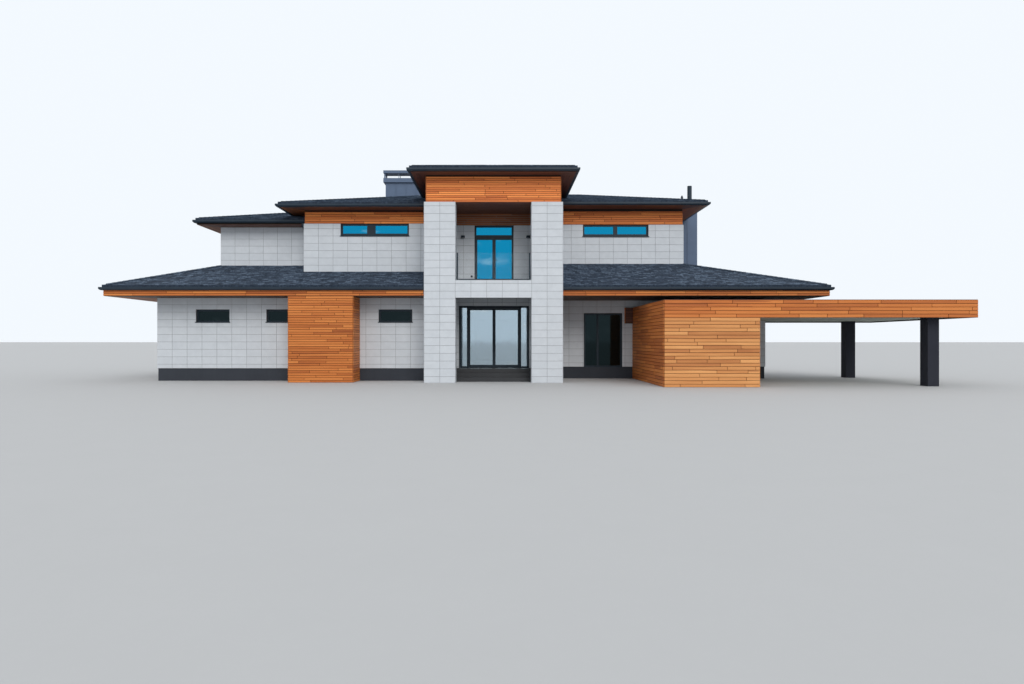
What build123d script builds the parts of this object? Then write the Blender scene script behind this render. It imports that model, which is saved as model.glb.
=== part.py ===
from build123d import *
import os

# Two-storey detached house with a balcony tower, a low hip roof round the ground storey and a carport.
# Millimetres, +Z up. The front looks along -Y. The origin lies on the ground, under the middle of the
# entrance steps. The building is hollow with cut openings, and each piece is a STEP file.

# Levels above the ground
ground_floor_top = 470
plinth_top = 500
plinth_setback = 25
slab_thickness = 220
ground_wall_top = 3550
upper_floor_thickness = 350
lower_soffit_z = 3340
lower_eave_z = 3745
wall_thickness = 300
cladding_wall_thickness = 200

# Tower with the porch and the balcony
tower_width = 5300
porch_opening = 2920
pillar_depth = 600
porch_depth = 2400
tower_side_thickness = 300
balcony_floor_top = 3920
balcony_beam_height = 670
balcony_slab_thickness = 220
tower_frieze_z = 6920
tower_frieze_height = 1060
tower_frieze_setback = 75
frieze_setback = 40
frieze_thickness = 200
tower_overhang = 510
tower_eave_z = 8160
ceiling_thickness = 60

# Entrance steps and doors
steps_run = 1660
step_tread = 330
step_count = 3
door_leaf_width = 1050
door_height = 2480
door_thickness = 62
door_stile = 60
door_bottom_rail = 120
door_gap = 8
door_floor_gap = 12
door_handle_radius = 16
door_handle_length = 1200
door_handle_standoff = 55
door_handle_stud_radius = 12
door_handle_stud_pitch = 840
hinge_radius = 10
hinge_length = 120
hinge_clearance = 0.3
hinge_count = 3
hinge_end_distance = 260
hinge_plate_width = 40
hinge_plate_thickness = 4
entrance_head_height = 110
screen_frame = 60
screen_depth = 90

# Ground storey, measured from the tower's front plane and middle line
ground_left_x = -13550
ground_right_x = 11600
ground_front_left = 1430
right_front = 3150
ground_rear = 13900

# Upper storey
main_left_x = -7800
main_right_x = 8100
main_front = 1950
main_rear = 12400
left_room_x = -11580
left_room_front = 2870
left_room_rear = 11200
left_room_top = 6420
main_wall_top = 6420
right_wall_top = 6580
main_soffit_z = 6970
right_soffit_z = 7260
main_eave_z = 7140
left_room_eave_z = 6670

# Roofs
upper_slope = 0.26
lower_slope = 0.38
lower_left_slope = 0.303
lower_right_slope = 0.2366
main_overhang = 810
left_room_overhang = 750
lower_front = 120
lower_left_overhang = 1480
lower_right_overhang = 1360
lower_rear_overhang = 1300
roof_thickness = 75
fascia_inset = 45
fascia_thickness = 30
soffit_thickness = 20
gutter_reach = 90
gutter_height = 115
gutter_wall = 8
gutter_bevel = 45
gutter_gap = 3

# Windows and glazed doors
frame_bar = 60
frame_depth = 80
reveal = 90
glass_thickness = 24
sill_thickness = 30
sill_reach = 45
sill_ear = 30
small_window_width = 1350
bay_side_window_width = 1190
small_window_height = 530
small_window_sill = 2340
small_windows_front = (
    (-11320, small_window_width), (-8560, bay_side_window_width), (-3960, small_window_width)
)
small_windows_side = (5200, 10200)
long_window_width = 2800
long_window_height = 530
left_window_x = -4890
right_window_x = 5200
left_window_bar = 320
right_window_bar = 150
balcony_door_width = 1620
balcony_door_height = 2500
balcony_transom_drop = 520
balcony_door_bar = 110
hall_window_width = 2400
hall_window_height = 2400
side_light_width = 1640
side_light_height = 2320
side_light_left = 3840
side_light_bar_x = 4440
terrace_window_width = 3000
terrace_windows_x = (-9500, -4800, 5600)
rear_window_width = 1800
rear_window_height = 1300
rear_window_sill = 4900
rear_windows_x = (-5200, 0, 5200)
upper_side_window_y = 9000
left_room_window_drop = 1060

# Wood-clad bay under the lower roof
bay_left_x = -7900
bay_width = 2490

# Store and carport
store_left_x = 5930
store_width = 3300
beam_end_width = 340
beam_end_depth = 150
beam_end_height = 670
carport_front = -2470
carport_right_x = 16770
carport_rear = 4300
carport_top = 3020
carport_fascia_height = 610
carport_fascia_thickness = 40
carport_soffit_recess = 50
carport_deck_thickness = 300
coping_thickness = 15
column_width = 400
column_depth = 440
column_left_x = 15320
column_front_inset = 450
column_rear_inset = 200

# Balustrade
balustrade_height = 1060
balustrade_inset = 60
balustrade_glass = 20
balustrade_post = 50
balustrade_end_gap = 50
channel_height = 60

# Chimneys
stack_left_x = -5190
stack_width = 1940
stack_depth = 420
stack_y = 6400
stack_top = 9130
stack_slab = 200
stack_slab_reach = 95
stack_gap = 235
stack_cap = 130
stack_foot = 60
stack_foot_inset = 35
stack_stay = 24
stack_spans = 3
breast_width = 1400
breast_depth = 800
breast_y = 5950
breast_top = 8000
flue_wall = 10
large_flue_radius = 105
large_flue_top = 8950
large_flue_x = 9250
small_flue_radius = 50
small_flue_top = 8420
small_flue_x = 8890
flue_hood_reach = 12
flue_hood_height = 90
flue_hood_tip = 14

# Downpipes
downpipe_radius = 45
downpipe_bend_radius = 52
downpipe_gap = 25
outlet_length = 110
neck_drop = 400

# Reach of the solids that only cut
cut_step = 10
cut_margin = 4000
opening_cut_depth = 900

# Derived places in the part's own frame
entrance_y = steps_run / 2
front_y = entrance_y - porch_depth
half_tower = tower_width / 2
half_porch = porch_opening / 2
upper_floor_top = ground_wall_top + upper_floor_thickness
lower_roof_plan = (
    ground_left_x - lower_left_overhang,
    ground_right_x + lower_right_overhang,
    lower_front,
    ground_rear + lower_rear_overhang,
)
lower_slopes = (lower_left_slope, lower_right_slope, lower_slope, lower_slope)
setback = right_front - main_front
right_rear = main_rear - setback
right_eave_z = main_eave_z + upper_slope * setback
tower_rear_eave = main_front - main_overhang + (tower_eave_z - main_eave_z) / upper_slope
tower_depth = tower_rear_eave - tower_overhang
tower_frieze_half = half_tower - tower_frieze_setback
flue_y = breast_y + breast_depth / 2
high = stack_top + cut_margin
wide = carport_right_x + cut_margin


def block(x0, x1, y0, y1, z0, z1):
    """Box between two corners, with Y measured from the tower's front plane."""
    middle = ((x0 + x1) / 2, front_y + (y0 + y1) / 2, (z0 + z1) / 2)
    return Pos(*middle) * Box(x1 - x0, y1 - y0, z1 - z0)


def upright(points, z0, z1):
    """Prism on a plan outline, with Y measured from the tower's front plane."""
    outline = Polyline([(x, front_y + y, z0) for x, y in points], close=True)
    return extrude(make_face(outline), z1 - z0, dir=(0, 0, 1))


def ridge_place(low, high_side, low_z, high_z, low_slope, high_slope):
    """Place where two facing slopes meet, between the edges low and high_side."""
    rise = high_z - low_z + low_slope * low + high_slope * high_side
    return rise / (low_slope + high_slope)


def tent_along_x(plan, z_front, z_rear, slopes, floor_z, drop):
    """Solid under the front and rear slopes, lowered by drop."""
    x0, x1, y0, y1 = plan
    peak = ridge_place(y0, y1, z_front, z_rear, slopes[2], slopes[3])
    peak_z = z_front + slopes[2] * (peak - y0)
    corners = [(y0, floor_z), (y0, z_front - drop), (peak, peak_z - drop), (y1, z_rear - drop), (y1, floor_z)]
    outline = Polyline([(x0, front_y + y, z) for y, z in corners], close=True)
    return extrude(make_face(outline), x1 - x0, dir=(1, 0, 0))


def tent_along_y(plan, z_left, z_right, slopes, floor_z, drop):
    """Solid under the left and right slopes, lowered by drop."""
    x0, x1, y0, y1 = plan
    peak = ridge_place(x0, x1, z_left, z_right, slopes[0], slopes[1])
    peak_z = z_left + slopes[0] * (peak - x0)
    corners = [(x0, floor_z), (x0, z_left - drop), (peak, peak_z - drop), (x1, z_right - drop), (x1, floor_z)]
    outline = Polyline([(x, front_y + y0, z) for x, z in corners], close=True)
    return extrude(make_face(outline), y1 - y0, dir=(0, 1, 0))


def hip(plan, eaves, slopes, floor_z, drop=0):
    """Solid under a hip roof: eaves and slopes are given left, right, front, rear."""
    along_x = tent_along_x(plan, eaves[2], eaves[3], slopes, floor_z, drop)
    along_y = tent_along_y(plan, eaves[0], eaves[1], slopes, floor_z, drop)
    return along_x & along_y


def hip_shell(plan, eaves, slopes, floor_z):
    """Roof covering of even thickness, open below."""
    return hip(plan, eaves, slopes, floor_z) - hip(plan, eaves, slopes, floor_z - cut_step, roof_thickness)


def solids(*parts):
    """Group of separate solids for one file."""
    found = []
    for part in parts:
        found.extend(part.solids())
    return Compound(children=found)


# Plans of the storeys
def ground_plan(z0, z1, inset=0):
    """Ground storey's outline, without the porch."""
    rear = ground_rear - inset
    left = block(ground_left_x + inset, half_tower - inset, ground_front_left + inset, rear, z0, z1)
    right = block(-half_tower, ground_right_x - inset, right_front + inset, rear, z0, z1)
    porch = block(-half_tower, half_tower, -wide, porch_depth + inset, z0, z1)
    return left + right - porch


def main_left_part(z0, z1, grow=0):
    """Main upper volume left of the tower's right side, as far as the rear."""
    return block(main_left_x - grow, half_tower + grow, main_front - grow, main_rear + grow, z0, z1)


def main_right_part(z0, z1, grow=0):
    """Upper volume right of the tower, set back at the front and rear."""
    return block(half_tower - grow, main_right_x + grow, right_front - grow, right_rear + grow, z0, z1)


def main_plan(z0, z1, grow=0):
    """Both parts of the main upper volume, stepped beside the tower."""
    step = block(half_tower, wide, -wide, right_front - grow, z0, z1)
    return main_left_part(z0, z1, grow) + main_right_part(z0, z1, grow) - step


def left_room_plan(z0, z1, grow=0):
    """Lower room at the far left."""
    return block(left_room_x - grow, main_left_x, left_room_front - grow, left_room_rear + grow, z0, z1)


def tower_plan(z0, z1, grow=0):
    """Tower's outline."""
    return block(-half_tower - grow, half_tower + grow, -grow, tower_depth + grow, z0, z1)


# Openings: outward side, middle along the wall, outer face, width, sill and head
ANGLES = {"front": 0, "right": 90, "rear": 180, "left": 270}


def facing(side, along, face, shape):
    """Turns a shape made for the front to another side, with its outer face at face."""
    places = {"front": (along, face), "rear": (along, face), "left": (face, along), "right": (face, along)}
    x, y = places[side]
    return Pos(x, front_y + y, 0) * Rot(0, 0, ANGLES[side]) * shape


def opening_cut(side, along, face, width, sill, head):
    """Hole through a wall."""
    shape = Pos(0, 0, (sill + head) / 2) * Box(width, opening_cut_depth, head - sill)
    return facing(side, along, face, shape)


def local_block(x0, x1, y0, y1, z0, z1):
    """Box in an opening's own frame, Y growing into the wall."""
    return Pos((x0 + x1) / 2, (y0 + y1) / 2, (z0 + z1) / 2) * Box(x1 - x0, y1 - y0, z1 - z0)


def window_lights(width, sill, head, bars, rails, bar_width, plain_top):
    """Clear lights of a frame as (x0, x1, z0, z1).

    Bars and rails have one width; with plain_top the bars stop at the last rail.
    """
    half = width / 2
    edges = [-half + frame_bar]
    for bar in bars:
        edges.extend([bar - bar_width / 2, bar + bar_width / 2])
    edges.append(half - frame_bar)
    levels = [sill + frame_bar]
    for rail in rails:
        levels.extend([rail - bar_width / 2, rail + bar_width / 2])
    levels.append(head - frame_bar)
    rows = list(zip(levels[::2], levels[1::2]))
    lights = []
    for z0, z1 in rows:
        columns = list(zip(edges[::2], edges[1::2]))
        if plain_top and z0 == rows[-1][0]:
            columns = [(edges[0], edges[-1])]
        lights.extend((x0, x1, z0, z1) for x0, x1 in columns)
    return lights


def window_frame(width, sill, head, *layout):
    """Frame with upright bars and level rails, set back in its reveal."""
    frame = local_block(-width / 2, width / 2, reveal, reveal + frame_depth, sill, head)
    for x0, x1, z0, z1 in window_lights(width, sill, head, *layout):
        frame -= local_block(x0, x1, 0, reveal + 2 * frame_depth, z0, z1)
    return frame


def window_panes(width, sill, head, *layout):
    """Glass of a window, one pane in each light of its frame."""
    near = reveal + (frame_depth - glass_thickness) / 2
    panes = []
    for x0, x1, z0, z1 in window_lights(width, sill, head, *layout):
        panes.append(local_block(x0, x1, near, near + glass_thickness, z0, z1))
    return Compound(children=panes)


def window_sill(width, sill):
    """Sill plate that fills the reveal and stands out of the wall."""
    half = width / 2
    plate = local_block(-half, half, -sill_reach, reveal, sill, sill + sill_thickness)
    ears = local_block(-half - sill_ear, half + sill_ear, -sill_reach, 0, sill, sill + sill_thickness)
    return plate + ears


class Opening:
    """One hole with its frame, glass and sill."""

    def __init__(
        self, side, along, face, width, sill, height,
        bars=(), rails=(), bar_width=frame_bar, plain_top=False, plate=True,
    ):
        self.place = (side, along, face)
        self.size = (width, sill, sill + height)
        self.lights = (bars, rails, bar_width, plain_top)
        self.plate = plate

    def cut(self):
        """Hole for the wall."""
        return opening_cut(*self.place, *self.size)

    def frame(self):
        """Frame and sill in place."""
        shape = window_frame(*self.size, *self.lights)
        if self.plate:
            shape += window_sill(self.size[0], self.size[1])
        return facing(*self.place, shape)

    def panes(self):
        """Glass in place."""
        return facing(*self.place, window_panes(*self.size, *self.lights))


ground_front_windows = [
    Opening("front", x, ground_front_left, width, small_window_sill, small_window_height)
    for x, width in small_windows_front
]
ground_left_windows = [
    Opening("left", y, ground_left_x, small_window_width, small_window_sill, small_window_height)
    for y in small_windows_side
]
ground_right_windows = [
    Opening("right", y, ground_right_x, small_window_width, small_window_sill, small_window_height)
    for y in small_windows_side
]
side_light = Opening(
    "front", side_light_left + side_light_width / 2, right_front, side_light_width, ground_floor_top,
    side_light_height, bars=(side_light_bar_x - side_light_left - side_light_width / 2,), plate=False,
)
hall_window = Opening(
    "rear", 0, ground_rear, hall_window_width, ground_floor_top, hall_window_height, bars=(0,), plate=False
)
terrace_windows = [
    Opening(
        "rear", x, ground_rear, terrace_window_width, ground_floor_top, hall_window_height,
        bars=(0,), plate=False,
    )
    for x in terrace_windows_x
]
long_left = Opening(
    "front", left_window_x, main_front, long_window_width, main_wall_top - long_window_height,
    long_window_height, bars=(-left_window_bar / 2,), bar_width=left_window_bar,
)
long_right = Opening(
    "front", right_window_x, right_front, long_window_width, right_wall_top - long_window_height,
    long_window_height, bars=(0,), bar_width=right_window_bar,
)
balcony_door = Opening(
    "front", 0, porch_depth, balcony_door_width, balcony_floor_top, balcony_door_height, bars=(0,),
    rails=(balcony_floor_top + balcony_door_height - balcony_transom_drop,), bar_width=balcony_door_bar,
    plain_top=True, plate=False,
)
upper_right_window = Opening(
    "right", upper_side_window_y, main_right_x, long_window_width, right_wall_top - long_window_height,
    long_window_height, bars=(0,),
)
left_room_window = Opening(
    "left", (left_room_front + left_room_rear) / 2, left_room_x, small_window_width,
    left_room_top - left_room_window_drop, small_window_height,
)


def rear_face(x):
    """Outer face of the upper rear wall at x."""
    return main_rear if x < half_tower else right_rear


upper_rear_windows = [
    Opening("rear", x, rear_face(x), rear_window_width, rear_window_sill, rear_window_height, bars=(0,))
    for x in rear_windows_x
]
ground_openings = [
    *ground_front_windows, *ground_left_windows, *ground_right_windows, side_light, hall_window,
    *terrace_windows,
]
upper_openings = [
    long_left, long_right, balcony_door, upper_right_window, left_room_window, *upper_rear_windows
]


def cut_openings(wall, openings):
    """Wall with its holes."""
    for opening in openings:
        wall -= opening.cut()
    return wall


# Ground storey
def make_plinth():
    """Dark base course round the ground storey."""
    ring = ground_plan(0, plinth_top, plinth_setback) - ground_plan(-cut_step, high, wall_thickness)
    entrance = block(-half_tower, half_tower, -wide, porch_depth + wall_thickness, ground_floor_top, high)
    return cut_openings(ring - entrance, [side_light, hall_window, *terrace_windows])


def make_ground_floor():
    """Floor slab inside the plinth, with its edge under the entrance."""
    return ground_plan(ground_floor_top - slab_thickness, ground_floor_top, wall_thickness)


def ground_shell():
    """All outer walls of the ground storey as one ring."""
    return ground_plan(plinth_top, ground_wall_top) - ground_plan(0, high, wall_thickness)


def tower_return_zone():
    """Short wall between the entrance wall and the right front wall."""
    near = porch_depth + wall_thickness
    return block(half_tower - wall_thickness, half_tower, near, right_front + wall_thickness, 0, high)


def make_front_wall_left():
    """Tiled front wall left of the tower."""
    zone = block(-wide, -half_tower, -wide, ground_front_left + wall_thickness, 0, high)
    return cut_openings(ground_shell() & zone, ground_front_windows)


def make_front_wall_right():
    """Tiled front wall right of the tower."""
    zone = block(half_tower, wide, -wide, right_front + wall_thickness, 0, high) + tower_return_zone()
    return cut_openings(ground_shell() & zone, [side_light])


def make_side_wall(openings, face, inward):
    """Tiled end wall between the front and rear walls; inward is 1 or -1 along X."""
    near = ground_front_left if inward > 0 else right_front
    x0, x1 = sorted((face, face + inward * wall_thickness))
    zone = block(x0, x1, near + wall_thickness, ground_rear - wall_thickness, 0, high)
    return cut_openings(ground_shell() & zone, openings)


def make_rear_wall():
    """Tiled rear wall with the terrace windows."""
    zone = block(-wide, wide, ground_rear - wall_thickness, wide, 0, high)
    return cut_openings(ground_shell() & zone, [hall_window, *terrace_windows])


def make_entrance_steps():
    """Flight of dark steps in the porch, with the landing at the doors."""
    riser = ground_floor_top / step_count
    half = half_tower - tower_side_thickness
    flight = None
    for number in range(step_count):
        nose = porch_depth - steps_run + number * step_tread
        tread = block(-half, half, nose, porch_depth, number * riser, (number + 1) * riser)
        flight = tread if flight is None else flight + tread
    return flight


# Tower
def make_tower_pillars():
    """Two tiled pillars from the ground to the frieze."""
    pillars = []
    for side in (-1, 1):
        x0, x1 = sorted((side * half_porch, side * half_tower))
        pillars.append(block(x0, x1, 0, pillar_depth, 0, tower_frieze_z))
    return solids(*pillars)


def make_tower_side_walls():
    """Side walls of the porch and balcony, behind the pillars."""
    walls = []
    for side in (-1, 1):
        x0, x1 = sorted((side * (half_tower - tower_side_thickness), side * half_tower))
        walls.append(block(x0, x1, pillar_depth, porch_depth, 0, tower_frieze_z))
    return solids(*walls)


def make_entrance_walls():
    """Walls beside the entrance doors."""
    walls = []
    rear = porch_depth + wall_thickness
    for side in (-1, 1):
        x0, x1 = sorted((side * half_porch, side * half_tower))
        walls.append(block(x0, x1, porch_depth, rear, ground_floor_top, ground_wall_top))
    return solids(*walls)


entrance_top = ground_floor_top + door_height + entrance_head_height


def make_entrance_head():
    """Wall over the entrance doors."""
    rear = porch_depth + wall_thickness
    return block(-half_porch, half_porch, porch_depth, rear, entrance_top, ground_wall_top)


half_doors = door_gap / 2 + door_leaf_width + door_gap
screen_front = porch_depth + reveal
leaf_rear = screen_front + screen_depth
leaf_front = leaf_rear - door_thickness
hinge_x = half_doors
hinge_y = leaf_rear + hinge_radius + hinge_clearance


def make_entrance_frame():
    """Fixed frame of the entrance with a side light at each end."""
    top = ground_floor_top + door_height + door_gap
    rear = screen_front + screen_depth
    frame = block(-half_porch, half_porch, screen_front, rear, ground_floor_top, entrance_top)
    frame -= block(-half_doors, half_doors, 0, wide, 0, top)
    for side in (-1, 1):
        x0, x1 = sorted((side * (half_doors + screen_frame), side * (half_porch - screen_frame)))
        frame -= block(x0, x1, 0, wide, ground_floor_top + screen_frame, entrance_top - screen_frame)
    return frame


def make_side_lights():
    """Glass beside the entrance doors."""
    near = screen_front + (screen_depth - glass_thickness) / 2
    panes = []
    for side in (-1, 1):
        x0, x1 = sorted((side * (half_doors + screen_frame), side * (half_porch - screen_frame)))
        z0 = ground_floor_top + screen_frame
        panes.append(block(x0, x1, near, near + glass_thickness, z0, entrance_top - screen_frame))
    return solids(*panes)


def leaf_edges(side):
    """Left and right edge of a door leaf."""
    return sorted((side * door_gap / 2, side * (door_gap / 2 + door_leaf_width)))


leaf_bottom = ground_floor_top + door_floor_gap
leaf_top = ground_floor_top + door_height


def make_door_leaf(side):
    """Glazed door leaf with a pull bar outside."""
    x0, x1 = leaf_edges(side)
    leaf = block(x0, x1, leaf_front, leaf_rear, leaf_bottom, leaf_top)
    leaf -= block(
        x0 + door_stile, x1 - door_stile, 0, wide, leaf_bottom + door_bottom_rail, leaf_top - door_stile
    )
    bar_x = side * (door_gap / 2 + door_stile / 2)
    bar_y = leaf_front - door_handle_standoff
    middle_z = (leaf_bottom + leaf_top) / 2
    bar = Pos(bar_x, front_y + bar_y, middle_z) * Cylinder(door_handle_radius, door_handle_length)
    reach = (bar_y + leaf_front) / 2
    for end in (-1, 1):
        z = middle_z + end * door_handle_stud_pitch / 2
        stud = Cylinder(door_handle_stud_radius, door_handle_standoff, rotation=(90, 0, 0))
        bar += Pos(bar_x, front_y + reach, z) * stud
    return leaf + bar + make_hinges(side)


def make_hinges(side):
    """Hinge barrels of a leaf, on the room side, each with its plate."""
    first = leaf_bottom + hinge_end_distance
    pitch = (leaf_top - leaf_bottom - 2 * hinge_end_distance) / (hinge_count - 1)
    x0, x1 = sorted((side * hinge_x, side * (hinge_x - hinge_plate_width)))
    hinges = None
    for number in range(hinge_count):
        z = first + number * pitch
        barrel = Pos(side * hinge_x, front_y + hinge_y, z) * Cylinder(hinge_radius, hinge_length)
        near = leaf_rear + hinge_clearance
        z0, z1 = z - hinge_length / 2, z + hinge_length / 2
        plate = block(x0, x1, near, leaf_rear + hinge_plate_thickness, z0, z1)
        edge = sorted((side * (hinge_x - hinge_plate_width), side * (hinge_x - door_gap)))
        pad = block(*edge, leaf_rear, near, z0, z1)
        hinge = barrel + plate + pad
        hinges = hinge if hinges is None else hinges + hinge
    return hinges


def make_door_glass(side):
    """Pane of a door leaf."""
    x0, x1 = leaf_edges(side)
    near = leaf_front + (door_thickness - glass_thickness) / 2
    z0 = leaf_bottom + door_bottom_rail
    return block(x0 + door_stile, x1 - door_stile, near, near + glass_thickness, z0, leaf_top - door_stile)


def make_upper_floor():
    """Floor between the storeys, over the ground storey's walls."""
    return ground_plan(ground_wall_top, upper_floor_top)


def make_balcony_floor():
    """Balcony slab with its deep tiled edge between the pillars."""
    inner = half_tower - tower_side_thickness
    z0 = balcony_floor_top - balcony_slab_thickness
    slab = block(-inner, inner, pillar_depth, porch_depth, z0, balcony_floor_top)
    tongue = block(-half_porch, half_porch, 0, pillar_depth, z0, balcony_floor_top)
    beam_z = balcony_floor_top - balcony_beam_height
    beam = block(-half_porch, half_porch, 0, wall_thickness, beam_z, balcony_floor_top)
    return slab + tongue + beam


def make_balustrade_glass():
    """Frameless glass balustrade."""
    half = half_porch - balustrade_post - balustrade_end_gap
    z0 = balcony_floor_top + channel_height
    y0 = balustrade_inset + (balustrade_post - balustrade_glass) / 2
    return block(-half, half, y0, y0 + balustrade_glass, z0, balcony_floor_top + balustrade_height)


def make_balustrade_rail():
    """Bottom channel of the balustrade with a thin post at each end."""
    half = half_porch - balustrade_post - balustrade_end_gap
    y0, y1 = balustrade_inset, balustrade_inset + balustrade_post
    rail = block(-half, half, y0, y1, balcony_floor_top, balcony_floor_top + channel_height)
    for side in (-1, 1):
        x0, x1 = sorted((side * half, side * (half + balustrade_post)))
        rail += block(x0, x1, y0, y1, balcony_floor_top, balcony_floor_top + balustrade_height)
    return rail


def make_balcony_wall():
    """Wall behind the balcony with the glazed door."""
    rear = porch_depth + wall_thickness
    wall = block(-half_tower, half_tower, porch_depth, rear, upper_floor_top, tower_frieze_z)
    return cut_openings(wall, [balcony_door])


def make_tower_frieze():
    """Wood-clad box over the pillars: front, sides and the balcony's ceiling."""
    top = tower_frieze_z + tower_frieze_height
    x = tower_frieze_half
    outer = block(-x, x, tower_frieze_setback, tower_depth, tower_frieze_z, top)
    inside = x - frieze_thickness
    start = tower_frieze_setback + frieze_thickness
    outer -= block(-inside, inside, start, wide, tower_frieze_z + ceiling_thickness, high)
    return outer


# Upper storey
def upper_shell():
    """Outer walls of the main upper volume as one ring."""
    step = upper_floor_top
    outer = main_left_part(step, main_wall_top) + main_right_part(step, right_wall_top)
    outer -= block(half_tower, wide, -wide, right_front, 0, high)
    inner_left = main_left_part(0, high, -wall_thickness)
    inner_right = block(
        half_tower - 2 * wall_thickness, main_right_x - wall_thickness,
        right_front + wall_thickness, right_rear - wall_thickness, 0, high,
    )
    porch = block(-half_tower, half_tower, -wide, porch_depth + wall_thickness, 0, high)
    return outer - inner_left - inner_right - porch


def make_upper_front_walls():
    """Tiled front walls beside the tower."""
    left_zone = block(-wide, -half_tower, -wide, main_front + wall_thickness, 0, high)
    right_zone = block(half_tower, wide, -wide, right_front + wall_thickness, 0, high) + tower_return_zone()
    shell = upper_shell()
    left = cut_openings(shell & left_zone, [long_left])
    right = cut_openings(shell & right_zone, [long_right])
    return solids(left, right)


def make_upper_left_wall():
    """Left wall of the main volume, open towards the far-left room."""
    near, far = main_front + wall_thickness, main_rear - wall_thickness
    wall = upper_shell() & block(-wide, main_left_x + wall_thickness, near, far, 0, high)
    way = block(
        -wide, wide, left_room_front + wall_thickness, left_room_rear - wall_thickness,
        upper_floor_top, left_room_top - wall_thickness,
    )
    return wall - way


def make_upper_right_wall():
    """Right wall of the main volume."""
    near, far = right_front + wall_thickness, right_rear - wall_thickness
    zone = block(main_right_x - wall_thickness, wide, near, far, 0, high)
    return cut_openings(upper_shell() & zone, [upper_right_window])


def make_upper_rear_wall():
    """Rear walls of the main volume, stepped."""
    left_zone = block(-wide, half_tower, main_rear - wall_thickness, wide, 0, high)
    right_zone = block(half_tower - wall_thickness, wide, right_rear - wall_thickness, wide, 0, high)
    wall = (upper_shell() & left_zone) + (upper_shell() & right_zone)
    return cut_openings(wall, upper_rear_windows)


def make_left_room_walls():
    """Three walls of the far-left room."""
    outer = left_room_plan(upper_floor_top, left_room_top)
    near, far = left_room_front + wall_thickness, left_room_rear - wall_thickness
    inner = block(left_room_x + wall_thickness, wide, near, far, 0, high)
    return cut_openings(outer - inner, [left_room_window])


def make_upper_frieze():
    """Wood-clad band over the tiled walls, up to the soffit."""
    left = main_left_part(main_wall_top, main_soffit_z, -frieze_setback)
    left -= main_left_part(0, high, -frieze_setback - frieze_thickness)
    left -= block(half_tower - frieze_setback, wide, -wide, wide, 0, high)
    left -= block(half_tower - wall_thickness, wide, -wide, right_rear, 0, high)
    left -= tower_plan(0, high)
    inset = frieze_setback
    near, far = right_front + inset, right_rear - inset
    right = block(half_tower, main_right_x - inset, near, far, right_wall_top, right_soffit_z)
    right -= block(
        0, main_right_x - inset - frieze_thickness, near + frieze_thickness, far - frieze_thickness, 0, high
    )
    return solids(left, right)


# Roofs
main_roof_plan = (
    main_left_x - main_overhang,
    main_right_x + main_overhang,
    main_front - main_overhang,
    main_rear + main_overhang,
)
main_eaves_z = (main_eave_z, right_eave_z, main_eave_z, main_eave_z)
upper_slopes = (upper_slope, upper_slope, upper_slope, upper_slope)
left_room_roof_plan = (
    left_room_x - left_room_overhang,
    main_right_x,
    left_room_front - left_room_overhang,
    left_room_rear + left_room_overhang,
)
left_room_eaves_z = (left_room_eave_z,) * 4
tower_roof_plan = (
    -half_tower - tower_overhang,
    half_tower + tower_overhang,
    -tower_overhang,
    tower_depth + tower_overhang,
)
tower_eaves_z = (tower_eave_z,) * 4
tower_soffit_z = tower_frieze_z + tower_frieze_height


def main_under_roof(floor_z, drop=0):
    """Solid under the main roof, trimmed to its eaves."""
    outline = main_plan(floor_z - cut_step, high, main_overhang)
    return hip(main_roof_plan, main_eaves_z, upper_slopes, floor_z, drop) & outline


def left_room_under_roof(floor_z, drop=0):
    """Solid under the far-left room's roof, as far as the main wall."""
    reach = block(-wide, main_left_x, -wide, wide, 0, high)
    return hip(left_room_roof_plan, left_room_eaves_z, upper_slopes, floor_z, drop) & reach


def stack_body(z1):
    """Left chimney's shaft from the ground up, for cutting."""
    return block(stack_left_x, stack_left_x + stack_width, stack_y, stack_y + stack_depth, 0, z1)


def breast_block(z1):
    """Right chimney's breast on the upper floor."""
    x1 = main_right_x + breast_width
    return block(main_right_x, x1, breast_y, breast_y + breast_depth, upper_floor_top, z1)


def make_main_roof():
    """Shingled hip roof over the main upper volume."""
    roof = main_under_roof(main_wall_top) - main_under_roof(main_wall_top - cut_step, roof_thickness)
    roof -= block(-tower_frieze_half, tower_frieze_half, -wide, tower_depth, 0, high)
    return roof - stack_body(high) - breast_block(high)


def make_tower_roof():
    """Shingled hip roof over the tower, run into the main roof."""
    shell = hip_shell(tower_roof_plan, tower_eaves_z, upper_slopes, tower_soffit_z)
    return shell - main_under_roof(main_wall_top)


def make_left_room_roof():
    """Shingled hip roof over the far-left room, run into the main eaves."""
    shell = hip_shell(left_room_roof_plan, left_room_eaves_z, upper_slopes, main_wall_top - roof_thickness)
    shell -= block(main_left_x, wide, -wide, wide, 0, high)
    return shell - main_under_roof(main_soffit_z)


def make_tower_eaves():
    """Wood soffit and fascia of the tower."""
    grow = tower_overhang - fascia_inset
    outer = tower_plan(tower_soffit_z - soffit_thickness, high, grow)
    hollow = tower_plan(tower_soffit_z, high, grow - fascia_thickness)
    body = block(-tower_frieze_half, tower_frieze_half, tower_frieze_setback, wide, 0, high)
    under = hip(tower_roof_plan, tower_eaves_z, upper_slopes, tower_frieze_z, roof_thickness)
    return ((outer - hollow - body) & under) - main_under_roof(main_wall_top)


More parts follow.
